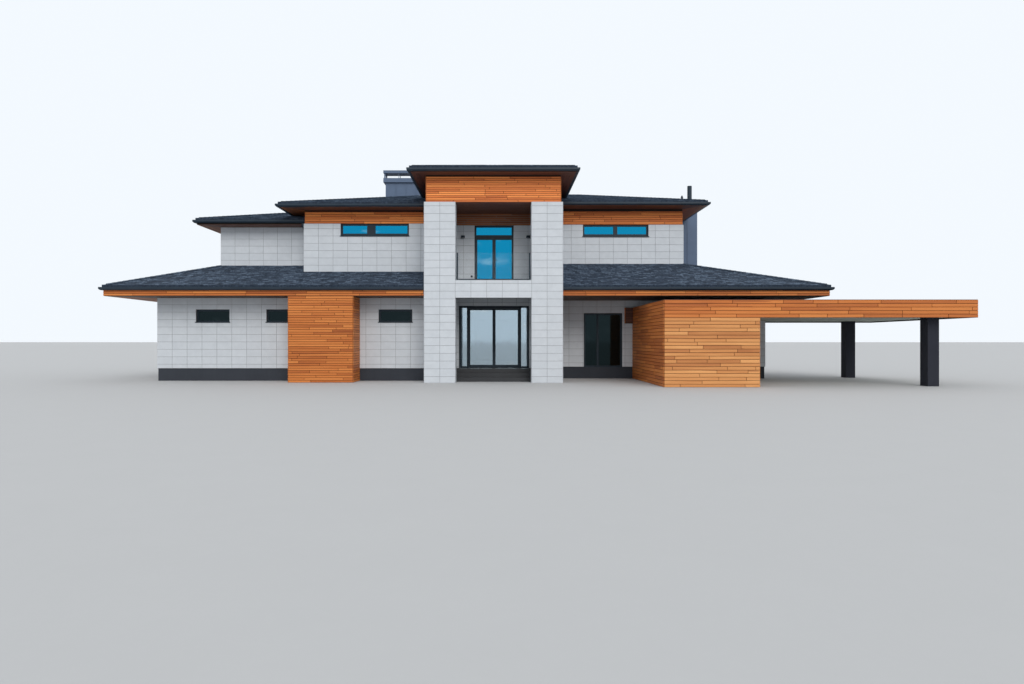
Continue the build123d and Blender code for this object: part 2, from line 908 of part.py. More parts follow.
def make_main_eaves():
    """Wood soffit and fascia of the main upper volume."""
    grow = main_overhang - fascia_inset
    left = main_left_part(main_soffit_z, high, grow)
    left -= main_left_part(main_soffit_z + soffit_thickness, high, grow - fascia_thickness)
    left -= main_left_part(0, high, -frieze_setback)
    left -= block(half_tower, wide, -wide, right_rear + grow, 0, high)
    left -= block(-tower_frieze_half, tower_frieze_half, 0, tower_depth, 0, high)
    left -= left_room_under_roof(left_room_top)
    right = main_right_part(right_soffit_z, high, grow)
    right -= main_right_part(right_soffit_z + soffit_thickness, high, grow - fascia_thickness)
    near, far = right_front + frieze_setback, right_rear - frieze_setback
    right -= block(-wide, main_right_x - frieze_setback, near, far, 0, high)
    right -= block(-wide, half_tower, -wide, wide, 0, high) + breast_block(high)
    under = main_under_roof(main_wall_top, roof_thickness)
    return solids(left & under, right & under)


def make_left_room_eaves():
    """Soffit and fascia of the far-left room."""
    grow = left_room_overhang - fascia_inset
    outer = left_room_plan(left_room_top, high, grow)
    hollow = left_room_plan(left_room_top + soffit_thickness, high, grow - fascia_thickness)
    return (outer - hollow - left_room_plan(0, high)) & left_room_under_roof(0, roof_thickness)


def upper_walls_block():
    """Everything of the upper storey that the lower roof leans on."""
    tower = block(-half_tower, half_tower, -wide, tower_depth, 0, high)
    return main_plan(0, high) + left_room_plan(0, high) + tower + breast_block(high)


def hip_zone(part):
    """Plan zone of one slope of the lower roof, bounded by its hips."""
    x0, x1, y0, y1 = lower_roof_plan
    depth = (y1 - y0) / 2
    left_in = x0 + depth * lower_slope / lower_left_slope
    right_in = x1 - depth * lower_slope / lower_right_slope
    middle = (y0 + y1) / 2
    zones = {
        "front": [(x0, y0), (x1, y0), (right_in, middle), (left_in, middle)],
        "rear": [(x0, y1), (left_in, middle), (right_in, middle), (x1, y1)],
        "left": [(x0, y0), (left_in, middle), (x0, y1)],
        "right": [(x1, y0), (x1, y1), (right_in, middle)],
    }
    return upright(zones[part], 0, high)


def make_lower_roof(part):
    """One shingled slope of the lower roof, mitred at its hips."""
    floor_z = lower_eave_z - roof_thickness
    eaves = (lower_eave_z,) * 4
    shell = hip_shell(lower_roof_plan, eaves, lower_slopes, floor_z)
    return (shell & hip_zone(part)) - upper_walls_block()


def lower_plan(z0, z1, grow=0):
    """Outline of the lower roof's eaves."""
    x0, x1, y0, y1 = lower_roof_plan
    return block(x0 - grow, x1 + grow, y0 - grow, y1 + grow, z0, z1)


def make_lower_eaves():
    """Wood fascia and dark soffit under the lower roof."""
    outer = lower_plan(lower_soffit_z, high, -fascia_inset)
    hollow = lower_plan(lower_soffit_z + soffit_thickness, high, -fascia_inset - fascia_thickness)
    body = ground_plan(0, high) + block(-half_tower, half_tower, -wide, right_front, 0, high)
    under = hip(lower_roof_plan, (lower_eave_z,) * 4, lower_slopes, 0, roof_thickness)
    return (outer - hollow - body) & under


def bevel_foot(shape):
    """Cuts the lower edges of a box at 45 degrees."""
    return chamfer(shape.edges().group_by(Axis.Z)[0], gutter_bevel)


def gutter_ring(outline, eave_z):
    """Bevelled box gutter on the fascia; outline gives the roof's edge grown by a width."""
    z1 = eave_z - roof_thickness - gutter_gap
    z0 = z1 - gutter_height
    trough = bevel_foot(outline(z0, z1, gutter_reach)) - outline(0, high, -fascia_inset)
    hollow = bevel_foot(outline(z0 + gutter_wall, high, gutter_reach - gutter_wall))
    return trough - (hollow - outline(0, high, gutter_wall - fascia_inset))


def make_gutters():
    """Gutters of all four roofs."""

    def tower_outline(z0, z1, grow):
        return tower_plan(z0, z1, tower_overhang + grow)

    def left_outline(z0, z1, grow):
        return main_left_part(z0, z1, main_overhang + grow)

    def right_outline(z0, z1, grow):
        return main_right_part(z0, z1, main_overhang + grow)

    def room_outline(z0, z1, grow):
        far = left_room_rear + left_room_overhang + grow
        near = left_room_front - left_room_overhang - grow
        return block(left_room_x - left_room_overhang - grow, half_tower, near, far, z0, z1)

    edge = main_overhang + gutter_reach
    tower_body = block(-tower_frieze_half, tower_frieze_half, 0, tower_depth, 0, high)
    tower = gutter_ring(tower_outline, tower_eave_z) - main_under_roof(main_wall_top)
    tower -= block(-wide, wide, tower_depth, wide, 0, high)
    left = gutter_ring(left_outline, main_eave_z)
    left -= block(half_tower, wide, -wide, right_rear + edge, 0, high)
    left -= tower_body + left_room_under_roof(ground_wall_top)
    right = gutter_ring(right_outline, right_eave_z) - breast_block(high)
    right -= block(-wide, half_tower, -wide, wide, 0, high)
    right -= block(-wide, half_tower + edge, right_rear, wide, 0, high)
    room = gutter_ring(room_outline, left_room_eave_z) - block(main_left_x, wide, -wide, wide, 0, high)
    lower = gutter_ring(lower_plan, lower_eave_z)
    lower -= block(-half_tower, half_tower, -wide, right_front, 0, high)
    return solids(tower, left, right, room, lower)


# Wood-clad bay, store and carport
def make_bay_walls():
    """Wood-clad bay between the ground and the lower soffit."""
    x1 = bay_left_x + bay_width
    t = cladding_wall_thickness
    near = lower_front + fascia_inset + fascia_thickness
    walls = block(bay_left_x, x1, near, ground_front_left, 0, lower_soffit_z)
    return walls - block(bay_left_x + t, x1 - t, near + t, wide, -cut_step, high)


fascia_z = carport_top - carport_fascia_height
deck_z = fascia_z + carport_soffit_recess


def carport_plan(z0, z1, inset=0):
    """Outline of the flat canopy: before the house wall and past its end."""
    before = block(store_left_x + inset, carport_right_x - inset, carport_front + inset, right_front, z0, z1)
    beyond = block(ground_right_x, carport_right_x - inset, right_front - inset, carport_rear - inset, z0, z1)
    return before + beyond


def make_carport_fascia():
    """Deep wood fascia of the canopy."""
    ring = carport_plan(fascia_z, carport_top) - carport_plan(0, high, carport_fascia_thickness)
    return ring - block(-wide, ground_right_x, right_front, wide, 0, high)


def make_carport_coping():
    """Dark metal cap along the fascia's top."""
    cap = carport_plan(carport_top, carport_top + coping_thickness)
    return cap - carport_plan(0, high, carport_fascia_thickness)


def make_carport_roof():
    """Flat deck of the canopy, recessed in its fascia."""
    return carport_plan(deck_z, deck_z + carport_deck_thickness, carport_fascia_thickness)


def make_store_walls():
    """Wood-clad walls of the store, flush with the canopy's fascia, and a beam end on the house wall."""
    x1 = store_left_x + store_width
    t = cladding_wall_thickness
    walls = block(store_left_x, x1, carport_front, right_front, 0, deck_z)
    walls -= block(store_left_x + t, x1 - t, carport_front + t, wide, -cut_step, high)
    walls += block(
        store_left_x - beam_end_width, store_left_x, right_front - beam_end_depth, right_front,
        carport_top - beam_end_height, carport_top,
    )
    return walls - make_carport_fascia()


def make_carport_columns():
    """Two square dark columns at the canopy's open end."""
    x1 = column_left_x + column_width
    near = carport_front + column_front_inset
    far = carport_rear - column_rear_inset
    front = block(column_left_x, x1, near, near + column_depth, 0, deck_z)
    rear = block(column_left_x, x1, far - column_depth, far, 0, deck_z)
    return solids(front, rear)


# Chimneys and downpipes
def make_left_chimney():
    """Wide stack with a slab, and a cap plate on corner feet and thin stays."""
    x1 = stack_left_x + stack_width
    y1 = stack_y + stack_depth
    shaft = stack_body(stack_top) - main_under_roof(0, roof_thickness)
    reach = stack_slab_reach
    slab_top = stack_top + stack_slab
    slab = block(stack_left_x - reach, x1 + reach, stack_y - reach, y1 + reach, stack_top, slab_top)
    cap_z = slab_top + stack_gap
    cap = block(stack_left_x - reach, x1 + reach, stack_y - reach, y1 + reach, cap_z, cap_z + stack_cap)
    chimney = shaft + slab + cap
    inset = reach - stack_foot_inset - stack_foot / 2
    first, last = stack_left_x - inset, x1 + inset
    for number in range(stack_spans + 1):
        x = first + (last - first) * number / stack_spans
        half = (stack_foot if number in (0, stack_spans) else stack_stay) / 2
        for y in (stack_y - inset, y1 + inset):
            chimney += block(x - half, x + half, y - half, y + half, slab_top, cap_z)
    return chimney


def make_right_chimney():
    """Dark stack on the right wall, up through the eaves."""
    return breast_block(breast_top)


def make_flues():
    """Two round flue pipes on the right stack, the small one hooded."""
    pipes = []
    for x, radius, top in (
        (large_flue_x, large_flue_radius, large_flue_top),
        (small_flue_x, small_flue_radius, small_flue_top),
    ):
        height = top - breast_top
        pipe = Cylinder(radius, height) - Cylinder(radius - flue_wall, height)
        pipes.append(Pos(x, front_y + flue_y, breast_top + height / 2) * pipe)
    hood = Cone(small_flue_radius + flue_hood_reach, flue_hood_tip, flue_hood_height)
    hood = Pos(small_flue_x, front_y + flue_y, small_flue_top + flue_hood_height / 2) * hood
    return solids(pipes[0], pipes[1] + hood)


def pipe_run(*points):
    """Round pipe from point to point, with wider bends; Y is measured from the tower's front plane."""
    stops = [Vector(x, front_y + y, z) for x, y, z in points]
    run = None
    for start, end in zip(stops, stops[1:]):
        along = end - start
        leg = Plane(origin=start, z_dir=along) * Pos(0, 0, along.length / 2)
        leg = leg * Cylinder(downpipe_radius, along.length)
        run = leg if run is None else run + Pos(start) * Sphere(downpipe_bend_radius) + leg
    return run


def make_downpipes():
    """Downpipes at the far-left room, with a neck to its gutter, and at the rear corners."""
    out = downpipe_radius + downpipe_gap
    x, y = main_left_x - out - downpipe_gap, left_room_front - out
    edge_y = left_room_front - left_room_overhang
    gutter_z = left_room_eave_z - roof_thickness - gutter_gap - gutter_height
    neck_z = gutter_z - outlet_length
    wall_z = neck_z - neck_drop
    room = pipe_run((x, edge_y, gutter_z), (x, edge_y, neck_z), (x, y, wall_z), (x, y, lower_eave_z))
    room -= hip(lower_roof_plan, (lower_eave_z,) * 4, lower_slopes, 0)
    rear_y = ground_rear + out
    left_x, right_x = ground_left_x + out, ground_right_x - out
    left = pipe_run((left_x, rear_y, 0), (left_x, rear_y, lower_soffit_z))
    right = pipe_run((right_x, rear_y, 0), (right_x, rear_y, lower_soffit_z))
    return solids(room, left, right)


def make_window_frames(openings):
    """Frames and sills of a storey."""
    return solids(*[opening.frame() for opening in openings])


def make_window_glass(openings):
    """Panes of a storey."""
    return solids(*[opening.panes() for opening in openings])


PIECES = {
    "plinth": make_plinth,
    "ground_floor": make_ground_floor,
    "front_wall_left": make_front_wall_left,
    "front_wall_right": make_front_wall_right,
    "left_wall": lambda: make_side_wall(ground_left_windows, ground_left_x, 1),
    "right_wall": lambda: make_side_wall(ground_right_windows, ground_right_x, -1),
    "rear_wall": make_rear_wall,
    "entrance_steps": make_entrance_steps,
    "tower_pillars": make_tower_pillars,
    "tower_side_walls": make_tower_side_walls,
    "entrance_walls": make_entrance_walls,
    "entrance_head": make_entrance_head,
    "entrance_frame": make_entrance_frame,
    "entrance_side_lights": make_side_lights,
    "entrance_door_left": lambda: make_door_leaf(-1),
    "entrance_door_right": lambda: make_door_leaf(1),
    "entrance_glass_left": lambda: make_door_glass(-1),
    "entrance_glass_right": lambda: make_door_glass(1),
    "upper_floor": make_upper_floor,
    "balcony_floor": make_balcony_floor,
    "balustrade_glass": make_balustrade_glass,
    "balustrade_rail": make_balustrade_rail,
    "balcony_wall": make_balcony_wall,
    "tower_frieze": make_tower_frieze,
    "upper_front_walls": make_upper_front_walls,
    "upper_left_wall": make_upper_left_wall,
    "upper_right_wall": make_upper_right_wall,
    "upper_rear_wall": make_upper_rear_wall,
    "left_room_walls": make_left_room_walls,
    "upper_frieze": make_upper_frieze,
    "main_roof": make_main_roof,
    "tower_roof": make_tower_roof,
    "left_room_roof": make_left_room_roof,
    "tower_eaves": make_tower_eaves,
    "main_eaves": make_main_eaves,
    "left_room_eaves": make_left_room_eaves,
    "lower_roof_front": lambda: make_lower_roof("front"),
    "lower_roof_left": lambda: make_lower_roof("left"),
    "lower_roof_right": lambda: make_lower_roof("right"),
    "lower_roof_rear": lambda: make_lower_roof("rear"),
    "lower_eaves": make_lower_eaves,
    "gutters": make_gutters,
    "bay_walls": make_bay_walls,
    "store_walls": make_store_walls,
    "carport_roof": make_carport_roof,
    "carport_fascia": make_carport_fascia,
    "carport_coping": make_carport_coping,
    "carport_columns": make_carport_columns,
    "left_chimney": make_left_chimney,
    "right_chimney": make_right_chimney,
    "flues": make_flues,
    "downpipes": make_downpipes,
    "ground_window_frames": lambda: make_window_frames(ground_openings),
    "ground_window_glass": lambda: make_window_glass(ground_openings),
    "upper_window_frames": lambda: make_window_frames(upper_openings),
    "upper_window_glass": lambda: make_window_glass(upper_openings),
}

os.makedirs("parts", exist_ok=True)
for name, make in PIECES.items():
    export_step(make(), f"parts/{name}.step")
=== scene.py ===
"""Looks of the detached house: tiled walls, oiled boards, shingles, glazing and metalwork.

Metres, +Z up, the front looks along -Y. Each covering is cut from a copy of the frame's own faces,
so every tile, board and shingle lies on the wall, frieze or roof that carries it.
"""

from __future__ import annotations

import bisect
import logging
import math
import random
from dataclasses import dataclass
from enum import Enum
from functools import cache
from typing import Any, Callable, Iterable, Optional, Sequence, Union

import bmesh
import bpy
from mathutils import Matrix, Vector
from mathutils.bvhtree import BVHTree


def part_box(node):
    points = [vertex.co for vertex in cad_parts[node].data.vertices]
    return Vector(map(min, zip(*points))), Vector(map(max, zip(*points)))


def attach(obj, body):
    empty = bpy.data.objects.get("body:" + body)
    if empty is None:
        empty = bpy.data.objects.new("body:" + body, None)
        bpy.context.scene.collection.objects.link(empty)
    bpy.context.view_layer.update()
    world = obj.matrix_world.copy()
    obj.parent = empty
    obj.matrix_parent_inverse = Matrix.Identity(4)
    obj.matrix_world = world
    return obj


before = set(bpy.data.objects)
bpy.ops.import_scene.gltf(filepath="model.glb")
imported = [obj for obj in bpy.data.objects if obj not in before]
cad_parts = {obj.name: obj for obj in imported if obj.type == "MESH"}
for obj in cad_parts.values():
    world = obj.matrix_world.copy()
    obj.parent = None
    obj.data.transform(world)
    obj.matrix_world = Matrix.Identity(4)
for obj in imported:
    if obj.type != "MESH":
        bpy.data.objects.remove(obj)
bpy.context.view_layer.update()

log = logging.getLogger("house")

Colour = tuple[float, float, float, float]
Triple = tuple[float, float, float]
Noise = Triple
Limits = tuple[Optional[float], Optional[float]]
Mesh = bmesh.types.BMesh
Face = bmesh.types.BMFace
Edge = bmesh.types.BMEdge
Corner = bmesh.types.BMVert
Material = bpy.types.Material
Piece = bpy.types.Object
Number = Union["Wire", float]

HOUSE = "house"
PHOTO_WIDTH = 1024
PHOTO_HEIGHT = 684
ACROSS = Vector((1, 0, 0))
BACK = Vector((0, 1, 0))
UP = Vector((0, 0, 1))

# Tolerances and limits of the sheet tools, in metres or as cosines
MERGE = 0.0001
CUT = 1e-6
SAME_PLANE = 0.004
SINK = 0.002
TOE = SINK * 1.5
SLIVER_AREA = 0.0002
STRAIGHT = 0.01
PARALLEL = 0.999
SAME_SLOPE = 0.9999
MOSTLY = 0.5
PROBE_HEIGHT = 100.0
FAR = 1000.0


def rgb(red: float, green: float, blue: float) -> Colour:
    """Opaque linear colour."""
    return (red, green, blue, 1.0)


def names(text: str) -> tuple[str, ...]:
    """Names of nodes from one line of words."""
    return tuple(text.split())


# Shader maths


class Wire:
    """Output of a shader node that takes part in arithmetic."""

    def __init__(self, graph: Graph, output: bpy.types.NodeSocket) -> None:
        """Keeps the socket and the graph it belongs to."""
        self.graph = graph
        self.output = output

    def _maths(self, operation: str, *values: Number) -> Wire:
        """Result of a Math node that takes the values in order."""
        return self.graph.add("ShaderNodeMath", {"operation": operation}, dict(enumerate(values)))

    def __add__(self, other: Number) -> Wire:
        """Sum."""
        return self._maths("ADD", self, other)

    def __radd__(self, other: float) -> Wire:
        """Sum with a number in front."""
        return self._maths("ADD", other, self)

    def __sub__(self, other: Number) -> Wire:
        """Difference."""
        return self._maths("SUBTRACT", self, other)

    def __rsub__(self, other: float) -> Wire:
        """Difference with a number in front."""
        return self._maths("SUBTRACT", other, self)

    def __mul__(self, other: Number) -> Wire:
        """Product."""
        return self._maths("MULTIPLY", self, other)

    def __rmul__(self, other: float) -> Wire:
        """Product with a number in front."""
        return self._maths("MULTIPLY", other, self)

    def clamped(self) -> Wire:
        """Value held between 0 and 1."""
        return self._maths("MINIMUM", self._maths("MAXIMUM", self, 0.0), 1.0)

    def above(self, edge: float) -> Wire:
        """1 where the value is over an edge, else 0."""
        return self._maths("GREATER_THAN", self, edge)


class Graph:
    """Node tree of one material."""

    def __init__(self, name: str) -> None:
        """Starts an empty material with an output.

        Args:
            name: Name of the material.
        """
        self.material = bpy.data.materials.new(name)
        self.material.use_nodes = True
        self.tree = self.material.node_tree
        self.tree.nodes.clear()
        self.output = self.tree.nodes.new("ShaderNodeOutputMaterial")

    def add(self, kind: str, settings: dict[str, Any], inputs: dict[Any, Any], result: Any = 0) -> Wire:
        """Adds a node.

        Args:
            kind: Blender's name of the node type.
            settings: Properties set before the inputs; "stops" holds a ramp's places and colours.
            inputs: Values or wires, by socket place, name or identifier.
            result: Place or identifier of the output that is returned.

        Returns:
            The chosen output.
        """
        node = self.tree.nodes.new(kind)
        for key, value in settings.items():
            if key == "stops":
                self._set_stops(node.color_ramp, value)
            else:
                setattr(node, key, value)
        for key, value in inputs.items():
            socket = self._socket(node.inputs, key)
            if isinstance(value, Wire):
                self.tree.links.new(value.output, socket)
            else:
                socket.default_value = value
        return Wire(self, self._socket(node.outputs, result))

    @staticmethod
    def _socket(sockets: Any, key: Union[int, str]) -> bpy.types.NodeSocket:
        """Socket by place, identifier or name."""
        matches = [socket for socket in sockets if socket.identifier == key]
        return matches[0] if matches else sockets[key]

    @staticmethod
    def _set_stops(ramp: bpy.types.ColorRamp, stops: Sequence[tuple[float, Colour]]) -> None:
        """Gives a colour ramp its stops.

        Args:
            ramp: Ramp of a node.
            stops: Place and colour of each stop.
        """
        while len(ramp.elements) < len(stops):
            ramp.elements.new(1.0)
        for element, (place, colour) in zip(ramp.elements, stops):
            element.position = place
            element.color = colour

    def place(self) -> Wire:
        """Object coordinates, in metres."""
        return self.add("ShaderNodeTexCoord", {}, {}, "Object")

    def attribute(self, name: str, result: str = "Fac") -> Wire:
        """Attribute of the mesh."""
        return self.add("ShaderNodeAttribute", {"attribute_name": name}, {}, result)

    def scaled(self, vector: Wire, factors: Union[Wire, Triple]) -> Wire:
        """Vector multiplied by factors."""
        return self.add("ShaderNodeVectorMath", {"operation": "MULTIPLY"}, {0: vector, 1: factors})

    def moved(self, vector: Wire, value: Wire, factors: Triple) -> Wire:
        """Vector moved along each axis by a number times that axis's factor.

        Args:
            vector: Place on the surface.
            value: Number that changes over the surface.
            factors: Share of the number for each axis.

        Returns:
            The moved place.
        """
        parts = {axis: value * factor for axis, factor in zip("XYZ", factors)}
        shift = self.add("ShaderNodeCombineXYZ", {}, parts)
        return self.add("ShaderNodeVectorMath", {"operation": "ADD"}, {0: vector, 1: shift})

    def noise(self, vector: Wire, scale: float, detail: float, roughness: float) -> Wire:
        """Smooth noise from 0 to 1."""
        inputs = {"Vector": vector, "Scale": scale, "Detail": detail, "Roughness": roughness}
        return self.add("ShaderNodeTexNoise", {}, inputs)

    def ramp(self, value: Wire, stops: Sequence[tuple[float, Colour]]) -> Wire:
        """Colour ramp."""
        return self.add("ShaderNodeValToRGB", {"stops": stops}, {"Fac": value}, "Color")

    def blend(self, factor: Wire, first: Any, second: Any) -> Wire:
        """Colour mix."""
        inputs = {"Factor_Float": factor, "A_Color": first, "B_Color": second}
        return self.add("ShaderNodeMix", {"data_type": "RGBA"}, inputs, "Result_Color")

    def bump(self, height: Wire, strength: float, distance: float) -> Wire:
        """Normal from a height in the range 0 to 1."""
        inputs = {"Height": height, "Strength": strength, "Distance": distance}
        return self.add("ShaderNodeBump", {}, inputs, "Normal")

    def surface(self, colour: Any, roughness: Number, normal: Wire, **others: float) -> Wire:
        """Principled shader; a further socket goes by its name with _ for each space.

        Args:
            colour: Base colour.
            roughness: Roughness, from 0 to 1.
            normal: Normal of the surface.
            others: Values of further sockets.

        Returns:
            The shader.
        """
        inputs = {key.replace("_", " "): value for key, value in others.items()}
        inputs.update({"Base Color": colour, "Roughness": roughness, "Normal": normal})
        return self.add("ShaderNodeBsdfPrincipled", {}, inputs)

    def finish(self, shader: Wire) -> Material:
        """Joins the shader to the output and returns the material."""
        self.tree.links.new(shader.output, self.output.inputs["Surface"])
        return self.material


# Finishes; a Noise field holds its scale, detail and roughness


@dataclass(frozen=True)
class TileFinish:
    """Matt porcelain wall tiles with a faint stony cloud and a tone of their own."""

    name: str
    pale: Colour = rgb(0.60, 0.630, 0.665)
    dark: Colour = rgb(0.46, 0.487, 0.520)
    roughness: float = 0.62
    rough_spread: float = 0.16
    cloud: Noise = (3.2, 5.0, 0.6)
    speck: Noise = (95.0, 2.0, 0.7)
    grit: Noise = (260.0, 2.0, 0.6)
    tone_drift: Triple = (7.0, 3.0, 5.0)
    tone_share: float = 0.15
    cloud_share: float = 0.95
    speck_share: float = 0.35
    darkening: float = 0.22
    grit_share: float = 0.5
    bump: float = 0.25
    relief: float = 0.002

    def material(self) -> Material:
        """Builds the material.

        Returns:
            The material.
        """
        graph = Graph(self.name)
        tone = graph.attribute("tone")
        place = graph.moved(graph.place(), tone, self.tone_drift)
        cloud = graph.noise(place, *self.cloud)
        speck = graph.noise(place, *self.speck)
        mixed = tone * self.tone_share + cloud * self.cloud_share + speck * self.speck_share
        shade = (mixed - self.darkening).clamped()
        grit = graph.noise(place, *self.grit)
        rough = cloud * self.rough_spread + (self.roughness - self.rough_spread / 2)
        height = grit * self.grit_share + cloud * (1.0 - self.grit_share)
        normal = graph.bump(height, self.bump, self.relief)
        return graph.finish(graph.surface(graph.blend(shade, self.dark, self.pale), rough, normal))


@dataclass(frozen=True)
class BoardFinish:
    """Oiled boards: grain along each board, knots and a tone that changes from board to board."""

    name: str
    light: Colour = rgb(0.70, 0.255, 0.066)
    middle: Colour = rgb(0.50, 0.150, 0.035)
    deep: Colour = rgb(0.255, 0.062, 0.018)
    roughness: float = 0.5
    gloss: float = 0.22
    rough_spread: float = 0.22
    rough_drop: float = 0.1
    fibre: Noise = (1.0, 6.0, 0.65)
    streak: Noise = (1.0, 2.0, 0.5)
    knots: Noise = (0.16, 1.0, 0.4)
    tone_drift: Triple = (37.0, 51.0, 23.0)
    streak_length: Triple = (0.35, 0.35, 0.35)
    knot_length: Triple = (0.9, 0.9, 0.9)
    tone_share: float = 0.5
    fibre_share: float = 0.62
    streak_share: float = 0.5
    darkening: float = 0.06
    middle_stop: float = 0.45
    knot_edge: float = 0.735
    knot_share: float = 0.55
    fibre_relief: float = 0.7
    streak_relief: float = 0.3
    bump: float = 0.35
    relief: float = 0.003

    def material(self) -> Material:
        """Builds the material.

        Returns:
            The material.
        """
        graph = Graph(self.name)
        tone = graph.attribute("tone")
        along = graph.scaled(graph.place(), graph.attribute("grain", "Vector"))
        place = graph.moved(along, tone, self.tone_drift)
        fibre = graph.noise(place, *self.fibre)
        streak = graph.noise(graph.scaled(place, self.streak_length), *self.streak)
        knots = graph.noise(graph.scaled(place, self.knot_length), *self.knots)
        mixed = tone * self.tone_share + fibre * self.fibre_share + streak * self.streak_share
        value = mixed - self.darkening - self.tone_share / 2
        stops = ((0.0, self.deep), (self.middle_stop, self.middle), (1.0, self.light))
        colour = graph.ramp(value.clamped(), stops)
        colour = graph.blend(knots.above(self.knot_edge) * self.knot_share, colour, self.deep)
        rough = fibre * self.rough_spread + (self.roughness - self.rough_drop)
        height = fibre * self.fibre_relief + streak * self.streak_relief
        normal = graph.bump(height, self.bump, self.relief)
        return graph.finish(graph.surface(colour, rough, normal, Specular_IOR_Level=self.gloss))


@dataclass(frozen=True)
class ShingleFinish:
    """Bitumen shingles with mineral granules in mixed slate tones."""

    name: str
    dark: Colour = rgb(0.013, 0.021, 0.036)
    middle: Colour = rgb(0.042, 0.062, 0.095)
    light: Colour = rgb(0.160, 0.215, 0.290)
    roughness: float = 0.86
    gloss: float = 0.25
    granule: Noise = (210.0, 2.0, 0.8)
    patch: Noise = (13.0, 3.0, 0.65)
    tone_share: float = 0.50
    granule_share: float = 0.4
    patch_share: float = 1.5
    darkening: float = 0.78
    middle_stop: float = 0.5
    bump: float = 0.6
    relief: float = 0.003

    def material(self) -> Material:
        """Builds the material.

        Returns:
            The material.
        """
        graph = Graph(self.name)
        place = graph.place()
        granule = graph.noise(place, *self.granule)
        patch = graph.noise(place, *self.patch)
        tone = graph.attribute("tone")
        mixed = tone * self.tone_share + granule * self.granule_share + patch * self.patch_share
        stops = ((0.0, self.dark), (self.middle_stop, self.middle), (1.0, self.light))
        colour = graph.ramp((mixed - self.darkening).clamped(), stops)
        normal = graph.bump(granule, self.bump, self.relief)
        return graph.finish(graph.surface(colour, self.roughness, normal, Specular_IOR_Level=self.gloss))


@dataclass(frozen=True)
class MetalFinish:
    """Powder-coated metal with a fine texture and a little dust."""

    name: str
    colour: Colour
    dust: Colour
    roughness: float = 0.42
    gloss: float = 0.25
    rough_spread: float = 0.2
    cloud: Noise = (2.4, 4.0, 0.6)
    grain: Noise = (420.0, 1.0, 0.5)
    dust_contrast: float = 1.3
    dust_edge: float = 0.4
    bump: float = 0.12
    relief: float = 0.0008

    def material(self) -> Material:
        """Builds the material.

        Returns:
            The material.
        """
        graph = Graph(self.name)
        place = graph.place()
        cloud = graph.noise(place, *self.cloud)
        grain = graph.noise(place, *self.grain)
        share = (cloud * self.dust_contrast - self.dust_edge).clamped()
        colour = graph.blend(share, self.colour, self.dust)
        rough = cloud * self.rough_spread + (self.roughness - self.rough_spread / 2)
        normal = graph.bump(grain, self.bump, self.relief)
        return graph.finish(graph.surface(colour, rough, normal, Specular_IOR_Level=self.gloss))


@dataclass(frozen=True)
class RenderFinish:
    """Trowelled mineral render or cast concrete: broad cloudiness, fine grain and faint runs."""

    name: str
    pale: Colour
    dark: Colour
    grain_scale: float = 120.0
    relief: float = 0.003
    roughness: float = 0.88
    gloss: float = 0.3
    cloud: Noise = (1.3, 5.0, 0.62)
    runs: Noise = (1.0, 3.0, 0.6)
    grain: tuple[float, float] = (3.0, 0.7)
    run_shape: Triple = (9.0, 9.0, 0.7)
    cloud_share: float = 0.7
    run_share: float = 0.35
    grain_share: float = 0.35
    darkening: float = 0.25
    grain_relief: float = 0.7
    cloud_relief: float = 0.3
    bump: float = 0.5

    def material(self) -> Material:
        """Builds the material.

        Returns:
            The material.
        """
        graph = Graph(self.name)
        place = graph.place()
        cloud = graph.noise(place, *self.cloud)
        runs = graph.noise(graph.scaled(place, self.run_shape), *self.runs)
        grain = graph.noise(place, self.grain_scale, *self.grain)
        mixed = cloud * self.cloud_share + runs * self.run_share + grain * self.grain_share
        colour = graph.blend((mixed - self.darkening).clamped(), self.dark, self.pale)
        height = grain * self.grain_relief + cloud * self.cloud_relief
        normal = graph.bump(height, self.bump, self.relief)
        return graph.finish(graph.surface(colour, self.roughness, normal, Specular_IOR_Level=self.gloss))


@dataclass(frozen=True)
class GlassFinish:
    """Coated glazing: a tinted mirror layer over clear glass, with painted cloud reflections in soft pale patches.
    """

    name: str
    mirror: Colour
    painted_cloud: Colour
    tint: Colour
    coating: float
    index: float = 1.45
    roughness: float = 0.03
    wave: Noise = (1.6, 2.0, 0.5)
    wave_shape: Triple = (1.0, 1.0, 0.6)
    smear: Noise = (7.0, 3.0, 0.6)
    drift: Noise = (0.9, 4.0, 0.55)
    drift_shape: Triple = (0.55, 0.55, 1.3)
    painted_cloud_edge: float = 0.55
    painted_cloud_contrast: float = 5.0
    smear_rough: float = 0.03
    smear_share: float = 0.02
    bump: float = 0.05
    relief: float = 0.02

    def material(self) -> Material:
        """Builds the material.

        Returns:
            The material.
        """
        graph = Graph(self.name)
        place = graph.place()
        wave = graph.noise(graph.scaled(place, self.wave_shape), *self.wave)
        smear = graph.noise(place, *self.smear)
        normal = graph.bump(wave, self.bump, self.relief)
        clear = graph.surface(self.tint, 0.0, normal, IOR=self.index, Transmission_Weight=1.0)
        # Painted reflection: pale patches of the mirror colour stand in for reflected clouds.
        drift = graph.noise(graph.scaled(place, self.drift_shape), *self.drift)
        painted_cloud_share = ((drift - self.painted_cloud_edge) * self.painted_cloud_contrast).clamped()
        shine = graph.blend(painted_cloud_share, self.mirror, self.painted_cloud)
        coat = graph.surface(shine, smear * self.smear_rough + self.roughness, normal, Metallic=1.0)
        share = (smear * self.smear_share + (self.coating - self.smear_share / 2)).clamped()
        return graph.finish(graph.add("ShaderNodeMixShader", {}, {"Fac": share, 1: clear, 2: coat}))


